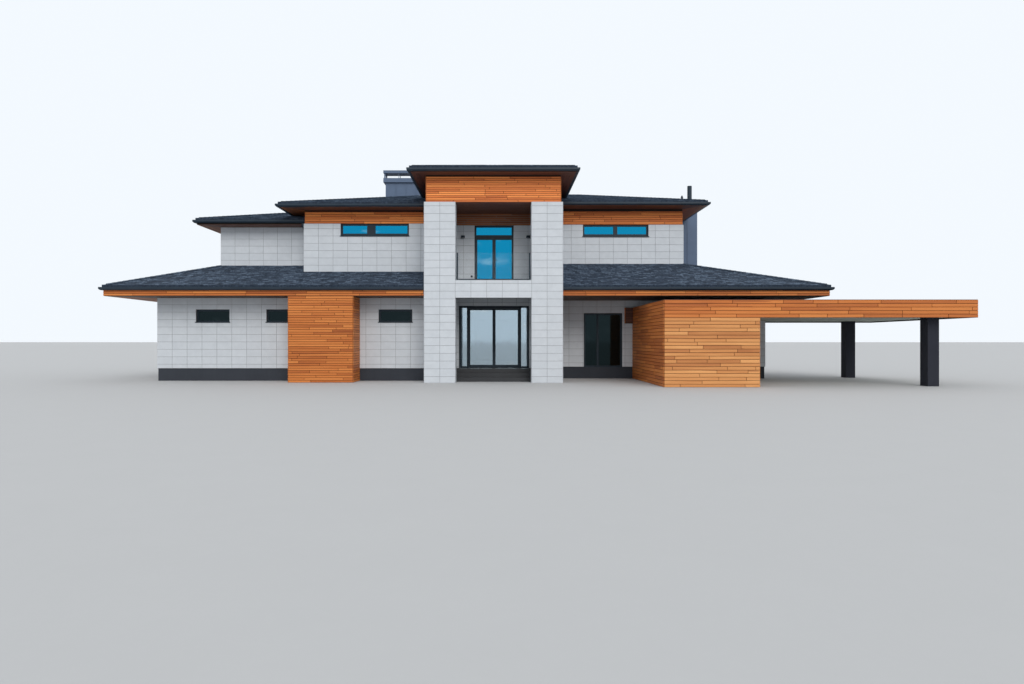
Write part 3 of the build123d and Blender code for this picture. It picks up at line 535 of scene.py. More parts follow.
@dataclass(frozen=True)
class LampFinish:
    """Opal cover of a wall lamp."""

    name: str
    clear: Colour = rgb(0.85, 0.82, 0.76)
    milky: Colour = rgb(0.7, 0.68, 0.64)
    roughness: float = 0.35
    cloud: Noise = (30.0, 2.0, 0.5)

    def material(self) -> Material:
        """Builds the material.

        Returns:
            The material.
        """
        graph = Graph(self.name)
        cloud = graph.noise(graph.place(), *self.cloud)
        inputs = {"Base Color": graph.blend(cloud, self.clear, self.milky), "Roughness": self.roughness}
        return graph.finish(graph.add("ShaderNodeBsdfPrincipled", {}, inputs))


class Slot(Enum):
    """Material slots of the record."""

    TILE = "facade_tile"
    WOOD = "wood_boards"
    ROOF = "shingles"
    METAL = "dark_metal"
    GLASS = "window_glass"
    DARK = "dark_render"
    SLAB = "concrete"
    STONE = "step_stone"


class Finish(Enum):
    """Finishes of the house, each with the slot of the record that it belongs to."""

    TILE = Slot.TILE, TileFinish("wall_tile")
    BEDDING = Slot.TILE, RenderFinish(
        "tile_bedding", rgb(0.235, 0.242, 0.25), rgb(0.150, 0.155, 0.160), 90.0, 0.002
    )
    BOARD = Slot.WOOD, BoardFinish("oiled_board")
    # Painted light: a lighter copy of the board finish that makes up for the shade the eaves cast on the friezes.
    PAINTED_LIGHT_FRIEZE_BOARD = Slot.WOOD, BoardFinish(
        "painted_light_frieze_board", rgb(0.97, 0.350, 0.095), rgb(0.70, 0.200, 0.050), rgb(0.36, 0.082, 0.025)
    )
    STORE_BOARD = Slot.WOOD, BoardFinish(
        "honey_board", rgb(0.80, 0.400, 0.150), rgb(0.56, 0.235, 0.078), rgb(0.33, 0.105, 0.035)
    )
    # Painted shade: a dark copy of the board finish for boards in deep shade, under the eaves, the balcony and the
    # carport.
    SOFFIT = Slot.WOOD, BoardFinish(
        "soffit_board", rgb(0.170, 0.072, 0.046), rgb(0.115, 0.046, 0.031), rgb(0.062, 0.025, 0.019)
    )
    # Painted light and shade: a mid-tone copy of the board finish, lighter than the deep-shade copy at the eave
    # ends and darker than lit boards over the balcony door.
    WARM_SOFFIT = Slot.WOOD, BoardFinish(
        "warm_soffit_board", rgb(0.400, 0.150, 0.062), rgb(0.270, 0.098, 0.044), rgb(0.140, 0.050, 0.026)
    )
    # Dark boards with painted shade: the lower eave's soffit, darkened further for the shade over the ground-floor
    # walls.
    LOWER_SOFFIT = Slot.WOOD, BoardFinish(
        "dark_soffit_board", rgb(0.105, 0.055, 0.032), rgb(0.072, 0.037, 0.022), rgb(0.040, 0.021, 0.014)
    )
    # Near-black backing behind the boards: dark joints between boards, and painted shade in the band left bare
    # under each frieze's soffit.
    BACKING_AND_PAINTED_SHADE = Slot.WOOD, RenderFinish(
        "dark_backing_and_painted_shade", rgb(0.030, 0.018, 0.012), rgb(0.014, 0.009, 0.007), 60.0, 0.002
    )
    SHINGLE = Slot.ROOF, ShingleFinish("slate_shingle")
    METAL = Slot.METAL, MetalFinish("anthracite_metal", rgb(0.010, 0.019, 0.030), rgb(0.022, 0.036, 0.052))
    GUTTER = Slot.METAL, MetalFinish("gutter_metal", rgb(0.013, 0.024, 0.038), rgb(0.026, 0.042, 0.060), 0.36)
    SLATE_METAL = Slot.METAL, MetalFinish(
        "slate_sheet_metal", rgb(0.090, 0.130, 0.205), rgb(0.120, 0.165, 0.245), 0.5
    )
    ZINC = Slot.METAL, MetalFinish("zinc_collar", rgb(0.30, 0.35, 0.41), rgb(0.42, 0.47, 0.52), 0.45)
    OPAL = Slot.METAL, LampFinish("lamp_opal")
    RENDER = Slot.DARK, RenderFinish("dark_render", rgb(0.046, 0.052, 0.064), rgb(0.028, 0.032, 0.041))
    COLUMN = Slot.DARK, RenderFinish("column_coat", rgb(0.026, 0.028, 0.040), rgb(0.016, 0.018, 0.026))
    CONCRETE = Slot.SLAB, RenderFinish("cast_concrete", rgb(0.52, 0.515, 0.50), rgb(0.40, 0.395, 0.385))
    # Light grey ceiling with painted light: the colour is raised and tinted green to stand in for light thrown up
    # from a lawn.
    CEILING = Slot.SLAB, RenderFinish("grey_ceiling_with_painted_green_bounce", rgb(0.46, 0.49, 0.43), rgb(0.36, 0.39, 0.34))
    FELT = Slot.SLAB, RenderFinish(
        "roofing_felt", rgb(0.060, 0.066, 0.074), rgb(0.034, 0.038, 0.044), 240.0, 0.002
    )
    STONE = Slot.STONE, RenderFinish(
        "dark_stone", rgb(0.050, 0.052, 0.056), rgb(0.022, 0.023, 0.026), 180.0, 0.001, 0.55
    )
    # Painted reflection: the teal mirror colour stands in for the blue sky reflected in the upper panes.
    PAINTED_SKY_GLASS = Slot.GLASS, GlassFinish(
        "painted_sky_reflection_glass", rgb(0.006, 0.270, 0.480), rgb(0.230, 0.480, 0.640), rgb(0.35, 0.62, 0.72), 0.90
    )
    # Painted shade: the near-black mirror stands in for the shade under the lower eaves and the dark reflections in
    # the ground-floor panes.
    PAINTED_SHADE_GLASS = Slot.GLASS, GlassFinish(
        "painted_shade_glass", rgb(0.010, 0.018, 0.020), rgb(0.022, 0.034, 0.036), rgb(0.20, 0.26, 0.26), 0.90
    )
    ENTRANCE_GLASS = Slot.GLASS, GlassFinish(
        "entrance_glass", rgb(0.56, 0.68, 0.76), rgb(0.74, 0.82, 0.84), rgb(0.80, 0.88, 0.90), 0.62
    )
    CLEAR_GLASS = Slot.GLASS, GlassFinish(
        "clear_glass", rgb(0.55, 0.62, 0.66), rgb(0.60, 0.66, 0.70), rgb(0.985, 0.995, 0.995), 0.015, 1.08
    )

    def __init__(self, slot: Slot, coat: Any) -> None:
        """Keeps the slot and what makes the material."""
        self.slot = slot
        self.coat = coat

    @cache
    def material(self) -> Material:
        """Material of the finish, built at its first use."""
        return self.coat.material()


TILED_WALLS = names(
    "front_wall_left front_wall_right left_wall right_wall rear_wall tower_pillars tower_side_walls"
    " entrance_walls entrance_head balcony_floor balcony_wall upper_front_walls upper_left_wall"
    " upper_right_wall upper_rear_wall left_room_walls"
)
NODE_FINISHES = {
    Finish.BEDDING: TILED_WALLS,
    Finish.CONCRETE: names("ground_floor upper_floor"),
    Finish.CEILING: names("carport_roof"),
    Finish.RENDER: names("plinth"),
    Finish.COLUMN: names("carport_columns"),
    Finish.SLATE_METAL: names("left_chimney right_chimney"),
    Finish.STONE: names("entrance_steps"),
    Finish.BACKING_AND_PAINTED_SHADE: names(
        "tower_frieze upper_frieze tower_eaves main_eaves left_room_eaves lower_eaves bay_walls"
        " store_walls carport_fascia"
    ),
    Finish.SHINGLE: names(
        "main_roof tower_roof left_room_roof lower_roof_front lower_roof_left lower_roof_right"
        " lower_roof_rear"
    ),
    Finish.GUTTER: names("gutters downpipes carport_coping flues"),
    Finish.METAL: names(
        "entrance_frame entrance_door_left entrance_door_right balustrade_rail ground_window_frames"
        " upper_window_frames"
    ),
    Finish.CLEAR_GLASS: names("balustrade_glass"),
    Finish.ENTRANCE_GLASS: names("entrance_glass_left entrance_glass_right entrance_side_lights"),
    Finish.PAINTED_SHADE_GLASS: names("ground_window_glass"),
    Finish.PAINTED_SKY_GLASS: names("upper_window_glass"),
}


def dress_nodes() -> None:
    """Gives each listed frame node its finish and logs the nodes left plain."""
    for finish, nodes in NODE_FINISHES.items():
        for name in nodes:
            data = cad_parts[name].data
            data.materials.clear()
            data.materials.append(finish.material())
    plain = set(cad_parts).difference(*NODE_FINISHES.values())
    log.info("nodes left plain: %s", sorted(plain))


# Flat sheet tools


@dataclass(frozen=True)
class Lie:
    """How courses lie on a plane: where it looks, and which way courses run and rise."""

    normal: Vector
    along: Vector
    up: Vector


class Side(Enum):
    """Upright and level planes of the house."""

    FRONT = Lie(-BACK, ACROSS, UP)
    REAR = Lie(BACK, ACROSS, UP)
    LEFT = Lie(-ACROSS, BACK, UP)
    RIGHT = Lie(ACROSS, BACK, UP)
    TOP = Lie(UP, ACROSS, BACK)
    UNDER_X = Lie(-UP, ACROSS, BACK)
    UNDER_Y = Lie(-UP, BACK, ACROSS)


WALLS = (Side.FRONT, Side.REAR, Side.LEFT, Side.RIGHT)
FRONT_AND_ENDS = (Side.FRONT, Side.LEFT, Side.RIGHT)


def pick(parts: Iterable[Any], kind: type) -> list[Any]:
    """Parts of a mesh that are of one kind."""
    return [part for part in parts if isinstance(part, kind)]


def depth(face: Face, way: Lie) -> float:
    """Place of a face along a plane's normal."""
    return face.calc_center_median().dot(way.normal)


def copy_nodes(nodes: Iterable[str]) -> Mesh:
    """Copies frame nodes into one merged mesh.

    Args:
        nodes: Names of the nodes.

    Returns:
        A new mesh.
    """
    sheet = bmesh.new()
    for name in nodes:
        sheet.from_mesh(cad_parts[name].data)
    bmesh.ops.remove_doubles(sheet, verts=sheet.verts[:], dist=MERGE)
    sheet.normal_update()
    return sheet


def drop_faces(sheet: Mesh, unwanted: Callable[[Face], bool]) -> None:
    """Removes the faces that a test names."""
    faces = [face for face in sheet.faces if unwanted(face)]
    bmesh.ops.delete(sheet, geom=faces, context="FACES")


def flat_sheet(nodes: Iterable[str], way: Lie, place: Optional[float] = None) -> Mesh:
    """Copies the faces of some nodes that look one way.

    Args:
        nodes: Frame nodes.
        way: Plane whose normal the faces share.
        place: Distance of the plane along its normal, or None for every plane.

    Returns:
        A new mesh of flat faces.
    """
    sheet = copy_nodes(nodes)

    def elsewhere(face: Face) -> bool:
        """True for a face that looks another way or lies on another plane."""
        turned = face.normal.dot(way.normal) < PARALLEL
        return turned or (place is not None and abs(depth(face, way) - place) > SAME_PLANE)

    drop_faces(sheet, elsewhere)
    return sheet


def outer_sheet(nodes: Iterable[str], way: Lie, behind: float) -> Mesh:
    """Copies the faces that look one way and lie near the outermost such plane.

    Args:
        nodes: Frame nodes.
        way: Plane whose normal the faces share.
        behind: How far behind the outermost plane a face may lie.

    Returns:
        A new mesh of flat faces.
    """
    sheet = flat_sheet(nodes, way)
    places = {face: depth(face, way) for face in sheet.faces}
    outermost = max(places.values())
    drop_faces(sheet, lambda face: places[face] < outermost - behind)
    return sheet


def cut(mesh: Mesh, place: Vector, normal: Vector, below: bool = True, above: bool = True) -> list[Any]:
    """Cuts a mesh at a plane.

    Args:
        mesh: Mesh that is cut.
        place: Point of the plane.
        normal: Upward direction of the plane.
        below: True to keep what lies below the plane.
        above: True to keep what lies above it.

    Returns:
        The parts of the mesh that lie on the cut.
    """
    return bmesh.ops.bisect_plane(
        mesh,
        geom=mesh.verts[:] + mesh.edges[:] + mesh.faces[:],
        dist=CUT,
        plane_co=place,
        plane_no=normal,
        clear_inner=not below,
        clear_outer=not above,
    )["geom_cut"]


def trim(sheet: Mesh, axis: Vector, low: Optional[float] = None, high: Optional[float] = None) -> None:
    """Keeps what lies between two places along an axis, each of them optional.

    Args:
        sheet: Flat faces.
        axis: Direction of the limits.
        low: Lower limit, or None.
        high: Upper limit, or None.
    """
    scale = axis.length_squared
    if low is not None and sheet.faces:
        cut(sheet, axis * (low / scale), axis, below=False)
    if high is not None and sheet.faces:
        cut(sheet, axis * (high / scale), axis, above=False)


def grow(mesh: Mesh, faces: list[Face], push: Vector) -> list[Any]:
    """Extrudes faces, keeps them as the back, and returns the grown parts.

    Args:
        mesh: Mesh of the faces.
        faces: Faces that grow.
        push: From the old faces to the new.

    Returns:
        The new faces, edges and corners.
    """
    grown = bmesh.ops.extrude_face_region(mesh, geom=faces, use_keep_orig=True)["geom"]
    bmesh.ops.translate(mesh, verts=pick(grown, Corner), vec=push)
    return grown


def ease(mesh: Mesh, edges: Iterable[Edge], width: float, segments: int) -> None:
    """Bevels some edges.

    Args:
        mesh: Mesh of the edges.
        edges: Edges that are bevelled.
        width: Width of the bevel.
        segments: Number of its steps.
    """
    bmesh.ops.bevel(
        mesh,
        geom=list(set(edges)),
        offset=width,
        offset_type="OFFSET",
        segments=segments,
        profile=0.5,
        affect="EDGES",
        material=-1,
    )


def add_mesh(mesh: Mesh, other: Mesh) -> None:
    """Adds a copy of one mesh to another.

    Args:
        mesh: Mesh that takes the copy.
        other: Mesh that is copied.
    """
    carrier = bpy.data.meshes.new("carrier")
    other.to_mesh(carrier)
    mesh.from_mesh(carrier)
    bpy.data.meshes.remove(carrier)


def raise_sheet(sheet: Mesh, push: Vector, mesh: Mesh) -> None:
    """Gives a sheet a thickness and adds it to a mesh.

    Args:
        sheet: Flat faces; it is freed.
        push: From the sheet to its outer side.
        mesh: Mesh that takes it.
    """
    if sheet.faces:
        grow(sheet, sheet.faces[:], push)
        bmesh.ops.recalc_face_normals(sheet, faces=sheet.faces[:])
        add_mesh(mesh, sheet)
    sheet.free()


def slope_at(node: str, x: float, y: float) -> Optional[tuple[Vector, Vector]]:
    """Place and normal of a roof's slope under a point, or None beside the roof.

    Args:
        node: The roof.
        x: Place across the house.
        y: Place from front to rear.

    Returns:
        The point and the slope's normal, or None.
    """
    slopes = copy_nodes((node,))
    drop_faces(slopes, lambda face: face.normal.z < MOSTLY)
    tree = BVHTree.FromBMesh(slopes)
    slopes.free()
    place, normal, _, _ = tree.ray_cast(Vector((x, y, PROBE_HEIGHT)), -UP)
    return None if place is None else (place, normal)


def flatten(mesh: Mesh) -> None:
    """Dissolves the edges between faces of one plane."""
    bmesh.ops.dissolve_limit(mesh, angle_limit=STRAIGHT, verts=mesh.verts[:], edges=mesh.edges[:])


def reach(sheet: Mesh, axis: Vector) -> tuple[float, float]:
    """Lowest and highest place of a sheet along an axis."""
    places = [vertex.co.dot(axis) for vertex in sheet.verts]
    return min(places), max(places)


def islands(mesh: Mesh) -> list[tuple[Vector, Vector]]:
    """Boxes of the separate solids of a mesh.

    Args:
        mesh: Mesh of separate solids.

    Returns:
        Lowest and highest corner of each solid, in order of place.
    """
    waiting = set(mesh.verts)
    found = []
    while waiting:
        stack = [waiting.pop()]
        low, high = stack[0].co.copy(), stack[0].co.copy()
        while stack:
            vertex = stack.pop()
            low = Vector(map(min, low, vertex.co))
            high = Vector(map(max, high, vertex.co))
            near = {edge.other_vert(vertex) for edge in vertex.link_edges} & waiting
            waiting -= near
            stack.extend(near)
        found.append((low, high))
    return sorted(found, key=lambda box: tuple(box[0]))


# Shapes and pieces


def add_box(mesh: Mesh, low: Sequence[float], high: Sequence[float], edge: float) -> None:
    """Adds a box between two corners, with its edges eased.

    Args:
        mesh: Mesh that takes it.
        low: Lowest corner.
        high: Highest corner.
        edge: Width of the eased edges.
    """
    size = Vector(high) - Vector(low)
    middle = (Vector(high) + Vector(low)) / 2
    matrix = Matrix.Translation(middle) @ Matrix.Diagonal((*size, 1.0))
    made = bmesh.ops.create_cube(mesh, size=1.0, matrix=matrix)
    ease(mesh, (item for vertex in made["verts"] for item in vertex.link_edges), edge, 2)


def add_boxes(mesh: Mesh, origin: Triple, boxes: Iterable[tuple[Triple, Triple, float]]) -> None:
    """Adds boxes given by their corners from an origin and the width of their eased edges.

    Args:
        mesh: Mesh that takes them.
        origin: Place from which the corners count.
        boxes: Lowest corner, highest corner and edge width of each.
    """
    for low, high, edge in boxes:
        corners = ([start + part for start, part in zip(origin, corner)] for corner in (low, high))
        add_box(mesh, *corners, edge)


def add_disc(mesh: Mesh, middle: Sequence[float], radius: float, height: float, sides: int) -> list[Corner]:
    """Adds an upright cylinder and returns its corners.

    Args:
        mesh: Mesh that takes it.
        middle: Its middle.
        radius: Its radius.
        height: Its height.
        sides: Number of its sides.

    Returns:
        Its corners.
    """
    return bmesh.ops.create_cone(
        mesh,
        cap_ends=True,
        segments=sides,
        radius1=radius,
        radius2=radius,
        depth=height,
        matrix=Matrix.Translation(middle),
    )["verts"]


def close_piece(name: str, mesh: Mesh, finish: Finish) -> Piece:
    """Makes an object of a mesh, dresses it and lets it ride on the house.

    Args:
        name: Name of the piece.
        mesh: Its shape in place; it is freed.
        finish: Its finish.

    Returns:
        The piece.
    """
    data = bpy.data.meshes.new(name)
    for face in mesh.faces:
        face.smooth = False
    mesh.to_mesh(data)
    mesh.free()
    piece = bpy.data.objects.new(name, data)
    bpy.context.scene.collection.objects.link(piece)
    piece.data.materials.append(finish.material())
    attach(piece, HOUSE)
    log.info("%s: %d faces", name, len(data.polygons))
    return piece


# Coverings


@dataclass(frozen=True)
class Courses:
    """A covering laid in level courses; its pieces are equal."""

    rise: float
    run: float
    thickness: float
    joint: float
    base: float = 0.0
    start: float = 0.0
    edge: float = 0.0
    butt: float = 0.0
    least: float = 0.06
    grain: tuple[float, float] = (1.0, 1.0)

    def joints(self, low: float, high: float, chance: random.Random) -> list[float]:
        """Places of the upright joints of one course.

        Args:
            low: Start of the course.
            high: End of the course.
            chance: Source of random numbers; not used here.

        Returns:
            Places along the course, in order.
        """
        first = math.ceil((low + self.least - self.start) / self.run)
        last = math.floor((high - self.least - self.start) / self.run)
        return [self.start + number * self.run for number in range(first, last + 1)]


@dataclass(frozen=True)
class MixedCourses(Courses):
    """Courses whose pieces have mixed lengths, from run up to longest."""

    longest: float = 1.0

    def joints(self, low: float, high: float, chance: random.Random) -> list[float]:
        """Places of the upright joints, at random lengths.

        Args:
            low: Start of the course.
            high: End of the course.
            chance: Source of random numbers.

        Returns:
            Places along the course, in order.
        """
        places = []
        place = low + chance.uniform(self.least, self.longest)
        while place < high - self.least:
            places.append(place)
            place += chance.uniform(self.run, self.longest)
        return places


@dataclass(frozen=True)
class BoardCourses(MixedCourses):
    """Courses of boards, whose grain runs along them."""

    least: float = 0.10
    grain: tuple[float, float] = (1.1, 34.0)


class Covering:
    """Mesh that gathers the laid pieces of one covering."""

    def __init__(self, name: str) -> None:
        """Starts an empty covering; its name seeds the random tones.

        Args:
            name: Name of the piece.
        """
        self.name = name
        self.chance = random.Random(name)
        self.mesh = bmesh.new()
        self.mesh.faces.layers.float.new("tone")
        self.mesh.faces.layers.float_vector.new("grain")

    def lay(self, sheet: Mesh, way: Lie, courses: Courses) -> None:
        """Cuts a flat sheet into courses and pieces and adds them.

        Args:
            sheet: Flat faces; it is freed.
            way: How the courses lie on it.
            courses: Sizes of the pieces.
        """
        if sheet.faces:
            low, high = reach(sheet, way.up)
            first = math.floor((low - courses.base) / courses.rise + MERGE)
            last = math.ceil((high - courses.base) / courses.rise - MERGE)
            for course in range(first, last):
                self._lay_course(sheet, way, courses, courses.base + course * courses.rise)
        else:
            log.warning("%s: nothing to lay on", self.name)
        sheet.free()

    def _lay_course(self, sheet: Mesh, way: Lie, courses: Courses, floor: float) -> None:
        """Cuts one course out of a sheet, splits it at its joints and thickens it.

        Args:
            sheet: Flat faces.
            way: How the courses lie on them.
            courses: Sizes of the pieces.
            floor: Lower line of the course.
        """
        strip = sheet.copy()
        trim(strip, way.up, floor, floor + courses.rise)
        if strip.faces:
            places = courses.joints(*reach(strip, way.along), self.chance)
            for place in places:
                cut(strip, way.along * place, way.along)
            self._join_cells(strip, way, places)
            self._open_joints(strip, courses)
            if strip.faces:
                self._thicken(strip, way, courses, floor)
            add_mesh(self.mesh, strip)
        strip.free()

    @staticmethod
    def _join_cells(strip: Mesh, way: Lie, places: list[float]) -> None:
        """Dissolves the cuts that lie inside one piece, and the straight corners they leave.

        Args:
            strip: Scored faces of one course.
            way: How the course lies.
            places: Places of its upright joints.
        """

        def cell(face: Face) -> int:
            """Number of the piece that a face belongs to."""
            return bisect.bisect(places, face.calc_center_median().dot(way.along))

        shared = (edge for edge in strip.edges if len(edge.link_faces) == 2)
        inner = [edge for edge in shared if cell(edge.link_faces[0]) == cell(edge.link_faces[1])]
        bmesh.ops.dissolve_edges(strip, edges=inner, use_verts=False, use_face_split=False)
        passed = (vertex for vertex in strip.verts if len(vertex.link_edges) == 2)
        straight = [vertex for vertex in passed if vertex.calc_edge_angle(math.pi) < STRAIGHT]
        bmesh.ops.dissolve_verts(strip, verts=straight)

    @staticmethod
    def _open_joints(strip: Mesh, courses: Courses) -> None:
        """Parts the pieces of a course, by a joint where it has one.

        Args:
            strip: Pieces of one course.
            courses: Sizes of the pieces.
        """
        if courses.joint:
            ring = bmesh.ops.inset_individual(
                strip, faces=strip.faces[:], thickness=courses.joint / 2, use_even_offset=True
            )
            bmesh.ops.delete(strip, geom=ring["faces"], context="FACES")
        else:
            bmesh.ops.split_edges(strip, edges=strip.edges[:])
        drop_faces(strip, lambda face: face.calc_area() < SLIVER_AREA)

    def _thicken(self, strip: Mesh, way: Lie, courses: Courses, floor: float) -> None:
        """Gives each piece of a course its tone, grain, thickness and edge.

        Args:
            strip: Parted pieces of the course.
            way: How the course lies.
            courses: Sizes of the pieces.
            floor: Lower line of the course.
        """
        tone = strip.faces.layers.float.new("tone")
        grain = strip.faces.layers.float_vector.new("grain")
        lengthwise, crosswise = courses.grain
        stretch = Vector([lengthwise if abs(part) > MOSTLY else crosswise for part in way.along])
        for face in strip.faces:
            face[tone] = self.chance.random()
            face[grain] = stretch
        bmesh.ops.translate(strip, verts=strip.verts[:], vec=way.normal * -SINK)
        tops = pick(grow(strip, strip.faces[:], Vector()), Face)
        for face in tops:
            lift = courses.thickness + SINK + courses.butt * self.chance.random()
            for vertex in face.verts:
                if courses.butt:
                    share = 1.0 - (vertex.co.dot(way.up) - floor) / courses.rise
                    vertex.co += way.normal * (TOE + (lift - TOE) * share)
                else:
                    vertex.co += way.normal * lift
        bmesh.ops.recalc_face_normals(strip, faces=strip.faces[:])
        if courses.edge:
            ease(strip, (edge for face in tops for edge in face.edges), courses.edge, 1)

    def close(self, finish: Finish) -> Piece:
        """Turns what was laid into a finished piece."""
        return close_piece(self.name, self.mesh, finish)


# The house plan


@dataclass(frozen=True)
class Plan:
    """Planes of the house, read from the frame."""

    tower: float
    portal: float
    tower_front: float
    pillar_back: float
    porch_back: float
    side_inner: float
    ground_left: float
    ground_right: float
    ground_front: float
    right_front: float
    ground_rear: float
    main_left: float
    main_right: float
    main_front: float
    main_rear: float
    right_rear: float
    room_left: float
    room_front: float
    room_rear: float
    upper_level: float
    balcony_level: float
    frieze_line: float

    @classmethod
    def read(cls) -> Plan:
        """Reads the planes off the boxes of the nodes.

        Returns:
            The plan.
        """
        pillars, room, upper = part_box("tower_pillars"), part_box("left_room_walls"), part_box("upper_front_walls")
        front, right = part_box("front_wall_left"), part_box("front_wall_right")
        front_depth = front[1].y - front[0].y
        return cls(
            tower=pillars[1].x,
            portal=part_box("entrance_head")[1].x,
            tower_front=pillars[0].y,
            pillar_back=pillars[1].y,
            porch_back=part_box("entrance_walls")[0].y,
            side_inner=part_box("entrance_steps")[1].x,
            ground_left=front[0].x,
            ground_right=right[1].x,
            ground_front=front[0].y,
            right_front=right[1].y - front_depth,
            ground_rear=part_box("rear_wall")[1].y,
            main_left=upper[0].x,
            main_right=upper[1].x,
            main_front=upper[0].y,
            main_rear=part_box("upper_rear_wall")[1].y,
            right_rear=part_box("upper_right_wall")[1].y + front_depth,
            room_left=room[0].x,
            room_front=room[0].y,
            room_rear=room[1].y,
            upper_level=upper[0].z,
            balcony_level=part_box("balcony_floor")[1].z,
            frieze_line=room[1].z,
        )


@dataclass(frozen=True)
class Stretch:
    """One flat stretch that gets its own line of courses and joints."""

    side: Side
    place: float
    base: float = 0.0
    start: float = 0.0
    span: Limits = (None, None)
    height: Limits = (None, None)

    def sheet(self, nodes: Iterable[str]) -> Mesh:
        """Flat faces of the stretch, cut to its limits.

        Args:
            nodes: Nodes that carry the stretch.

        Returns:
            A new mesh of flat faces.
        """
        way = self.side.value
        sheet = flat_sheet(nodes, way, self.place * sum(way.normal))
        trim(sheet, way.along, *self.span)
        trim(sheet, way.up, *self.height)
        return sheet


# Tiles, pavers and felt


@dataclass
class TiledWalls:
    """Large tiles on every masonry wall, in stacked courses."""

    plan: Plan
    tile_height: float = 0.300
    tile_width: float = 0.600
    joint: float = 0.009
    thickness: float = 0.010
    edge: float = 0.0015
    ground_base: float = 0.065
    tower_base: float = 0.2405
    tower_tile_height: float = 0.2965
    tower_pieces: tuple[str, ...] = names("tiles_tower_front tiles_tower_sides tiles_porch_back")
    main_base: float = 0.210
    right_base: float = 0.020
    room_base: float = 0.220
    rear_base: float = 0.200
    balcony_joint_left: float = -1.27
    balcony_joint_right: float = 1.42

    def stretches(self) -> dict[str, list[Stretch]]:
        """Every tiled stretch, by the name of its piece.

        Returns:
            The stretches of each piece.
        """
        p = self.plan
        low, high = (None, p.upper_level), (p.upper_level, None)
        pillar, balcony = (None, p.pillar_back), (p.balcony_level, p.frieze_line)
        ground, tower, right, room = self.ground_base, self.tower_base, self.right_base, self.room_base
        main = self.main_base
        return {
            "tiles_ground_front": [
                Stretch(Side.FRONT, p.ground_front, ground, p.ground_left, height=low),
                Stretch(Side.FRONT, p.right_front, ground, p.ground_right, height=low),
            ],
            "tiles_ground_sides": [
                Stretch(Side.LEFT, p.ground_left, ground, p.ground_front),
                Stretch(Side.RIGHT, p.ground_right, ground, p.right_front),
                Stretch(Side.REAR, p.ground_rear, ground, p.ground_left),
            ],
            "tiles_tower_front": [
                Stretch(Side.FRONT, p.tower_front, tower, -p.tower, (None, -p.portal)),
                Stretch(Side.FRONT, p.tower_front, tower, p.tower, (p.portal, None)),
                Stretch(Side.FRONT, p.tower_front, tower, -p.portal, (-p.portal, p.portal)),
            ],
            "tiles_tower_sides": [
                Stretch(Side.LEFT, -p.tower, tower, p.tower_front),
                Stretch(Side.RIGHT, p.tower, tower, p.tower_front, (None, p.right_front)),
                Stretch(Side.RIGHT, -p.portal, tower, p.tower_front, pillar),
                Stretch(Side.LEFT, p.portal, tower, p.tower_front, pillar),
                Stretch(Side.RIGHT, -p.side_inner, tower, p.pillar_back),
                Stretch(Side.LEFT, p.side_inner, tower, p.pillar_back),
                Stretch(Side.REAR, p.pillar_back, tower, p.tower),
            ],
            "tiles_porch_back": [
                Stretch(Side.FRONT, p.porch_back, tower, -p.portal, height=low),
                Stretch(
                    Side.FRONT, p.porch_back, tower, self.balcony_joint_left, (-p.side_inner, 0.0), balcony
                ),
                Stretch(
                    Side.FRONT, p.porch_back, tower, self.balcony_joint_right, (0.0, p.side_inner), balcony
                ),
            ],
            "tiles_upper_front": [
                Stretch(Side.FRONT, p.main_front, main, p.main_left),
                Stretch(Side.FRONT, p.right_front, right, p.main_right, height=high),
                Stretch(Side.FRONT, p.room_front, room, p.room_left),
            ],
            "tiles_upper_sides": [
                Stretch(Side.LEFT, p.room_left, room, p.room_front),
                Stretch(Side.LEFT, p.main_left, main, p.main_front, (None, p.room_front)),
                Stretch(Side.LEFT, p.main_left, main, p.main_front, (p.room_rear, None)),
                Stretch(Side.RIGHT, p.main_right, right, p.right_front),
                Stretch(Side.RIGHT, p.tower, right, p.right_rear, (p.right_rear, None)),
                Stretch(Side.REAR, p.main_rear, self.rear_base, p.main_left),
                Stretch(Side.REAR, p.right_rear, right, p.main_right, (0.0, None)),
                Stretch(Side.REAR, p.room_rear, room, p.room_left, (None, 0.0)),
            ],
        }

    def build(self) -> list[Piece]:
        """Lays the tiles of every stretch.

        Returns:
            The finished pieces.
        """
        pieces = []
        for name, stretches in self.stretches().items():
            covering = Covering(name)
            rise = self.tower_tile_height if name in self.tower_pieces else self.tile_height
            for stretch in stretches:
                sizes = (rise, self.tile_width, self.thickness, self.joint)
                courses = Courses(*sizes, stretch.base, stretch.start, self.edge)
                covering.lay(stretch.sheet(TILED_WALLS), stretch.side.value, courses)
            pieces.append(covering.close(Finish.TILE))
        return pieces


@dataclass
class FlatCovers:
    """Square pavers on the balcony and rolls of roofing felt on the carport."""

    plan: Plan
    size: float = 0.600
    paver: float = 0.010
    joint: float = 0.004
    edge: float = 0.001
    roll_width: float = 0.94
    roll_length: float = 8.0
    felt: float = 0.004
    lap: float = 0.006

    def build(self) -> list[Piece]:
        """Lays the pavers and the felt.

        Returns:
            The finished pieces.
        """
        plan = self.plan
        sizes = (self.size, self.size, self.paver, self.joint)
        pavers = Courses(*sizes, plan.porch_back, -plan.portal, self.edge)
        corner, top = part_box("carport_roof")
        sizes = (self.roll_width, self.roll_length, self.felt, 0.0)
        rolls = Courses(*sizes, corner.y, corner.x, butt=self.lap)
        return [
            self.cover("balcony_pavers", "balcony_floor", plan.balcony_level, pavers, Finish.TILE),
            self.cover("carport_felt", "carport_roof", top.z, rolls, Finish.FELT),
        ]

    @staticmethod
    def cover(name: str, node: str, level: float, courses: Courses, finish: Finish) -> Piece:
        """Covers the top of a node.

        Args:
            name: Name of the piece.
            node: Node that carries it.
            level: Height of the node's top.
            courses: Sizes of what is laid.
            finish: Its finish.

        Returns:
            The cover.
        """
        covering = Covering(name)
        covering.lay(Stretch(Side.TOP, level).sheet((node,)), Side.TOP.value, courses)
        return covering.close(finish)


# Wood cladding


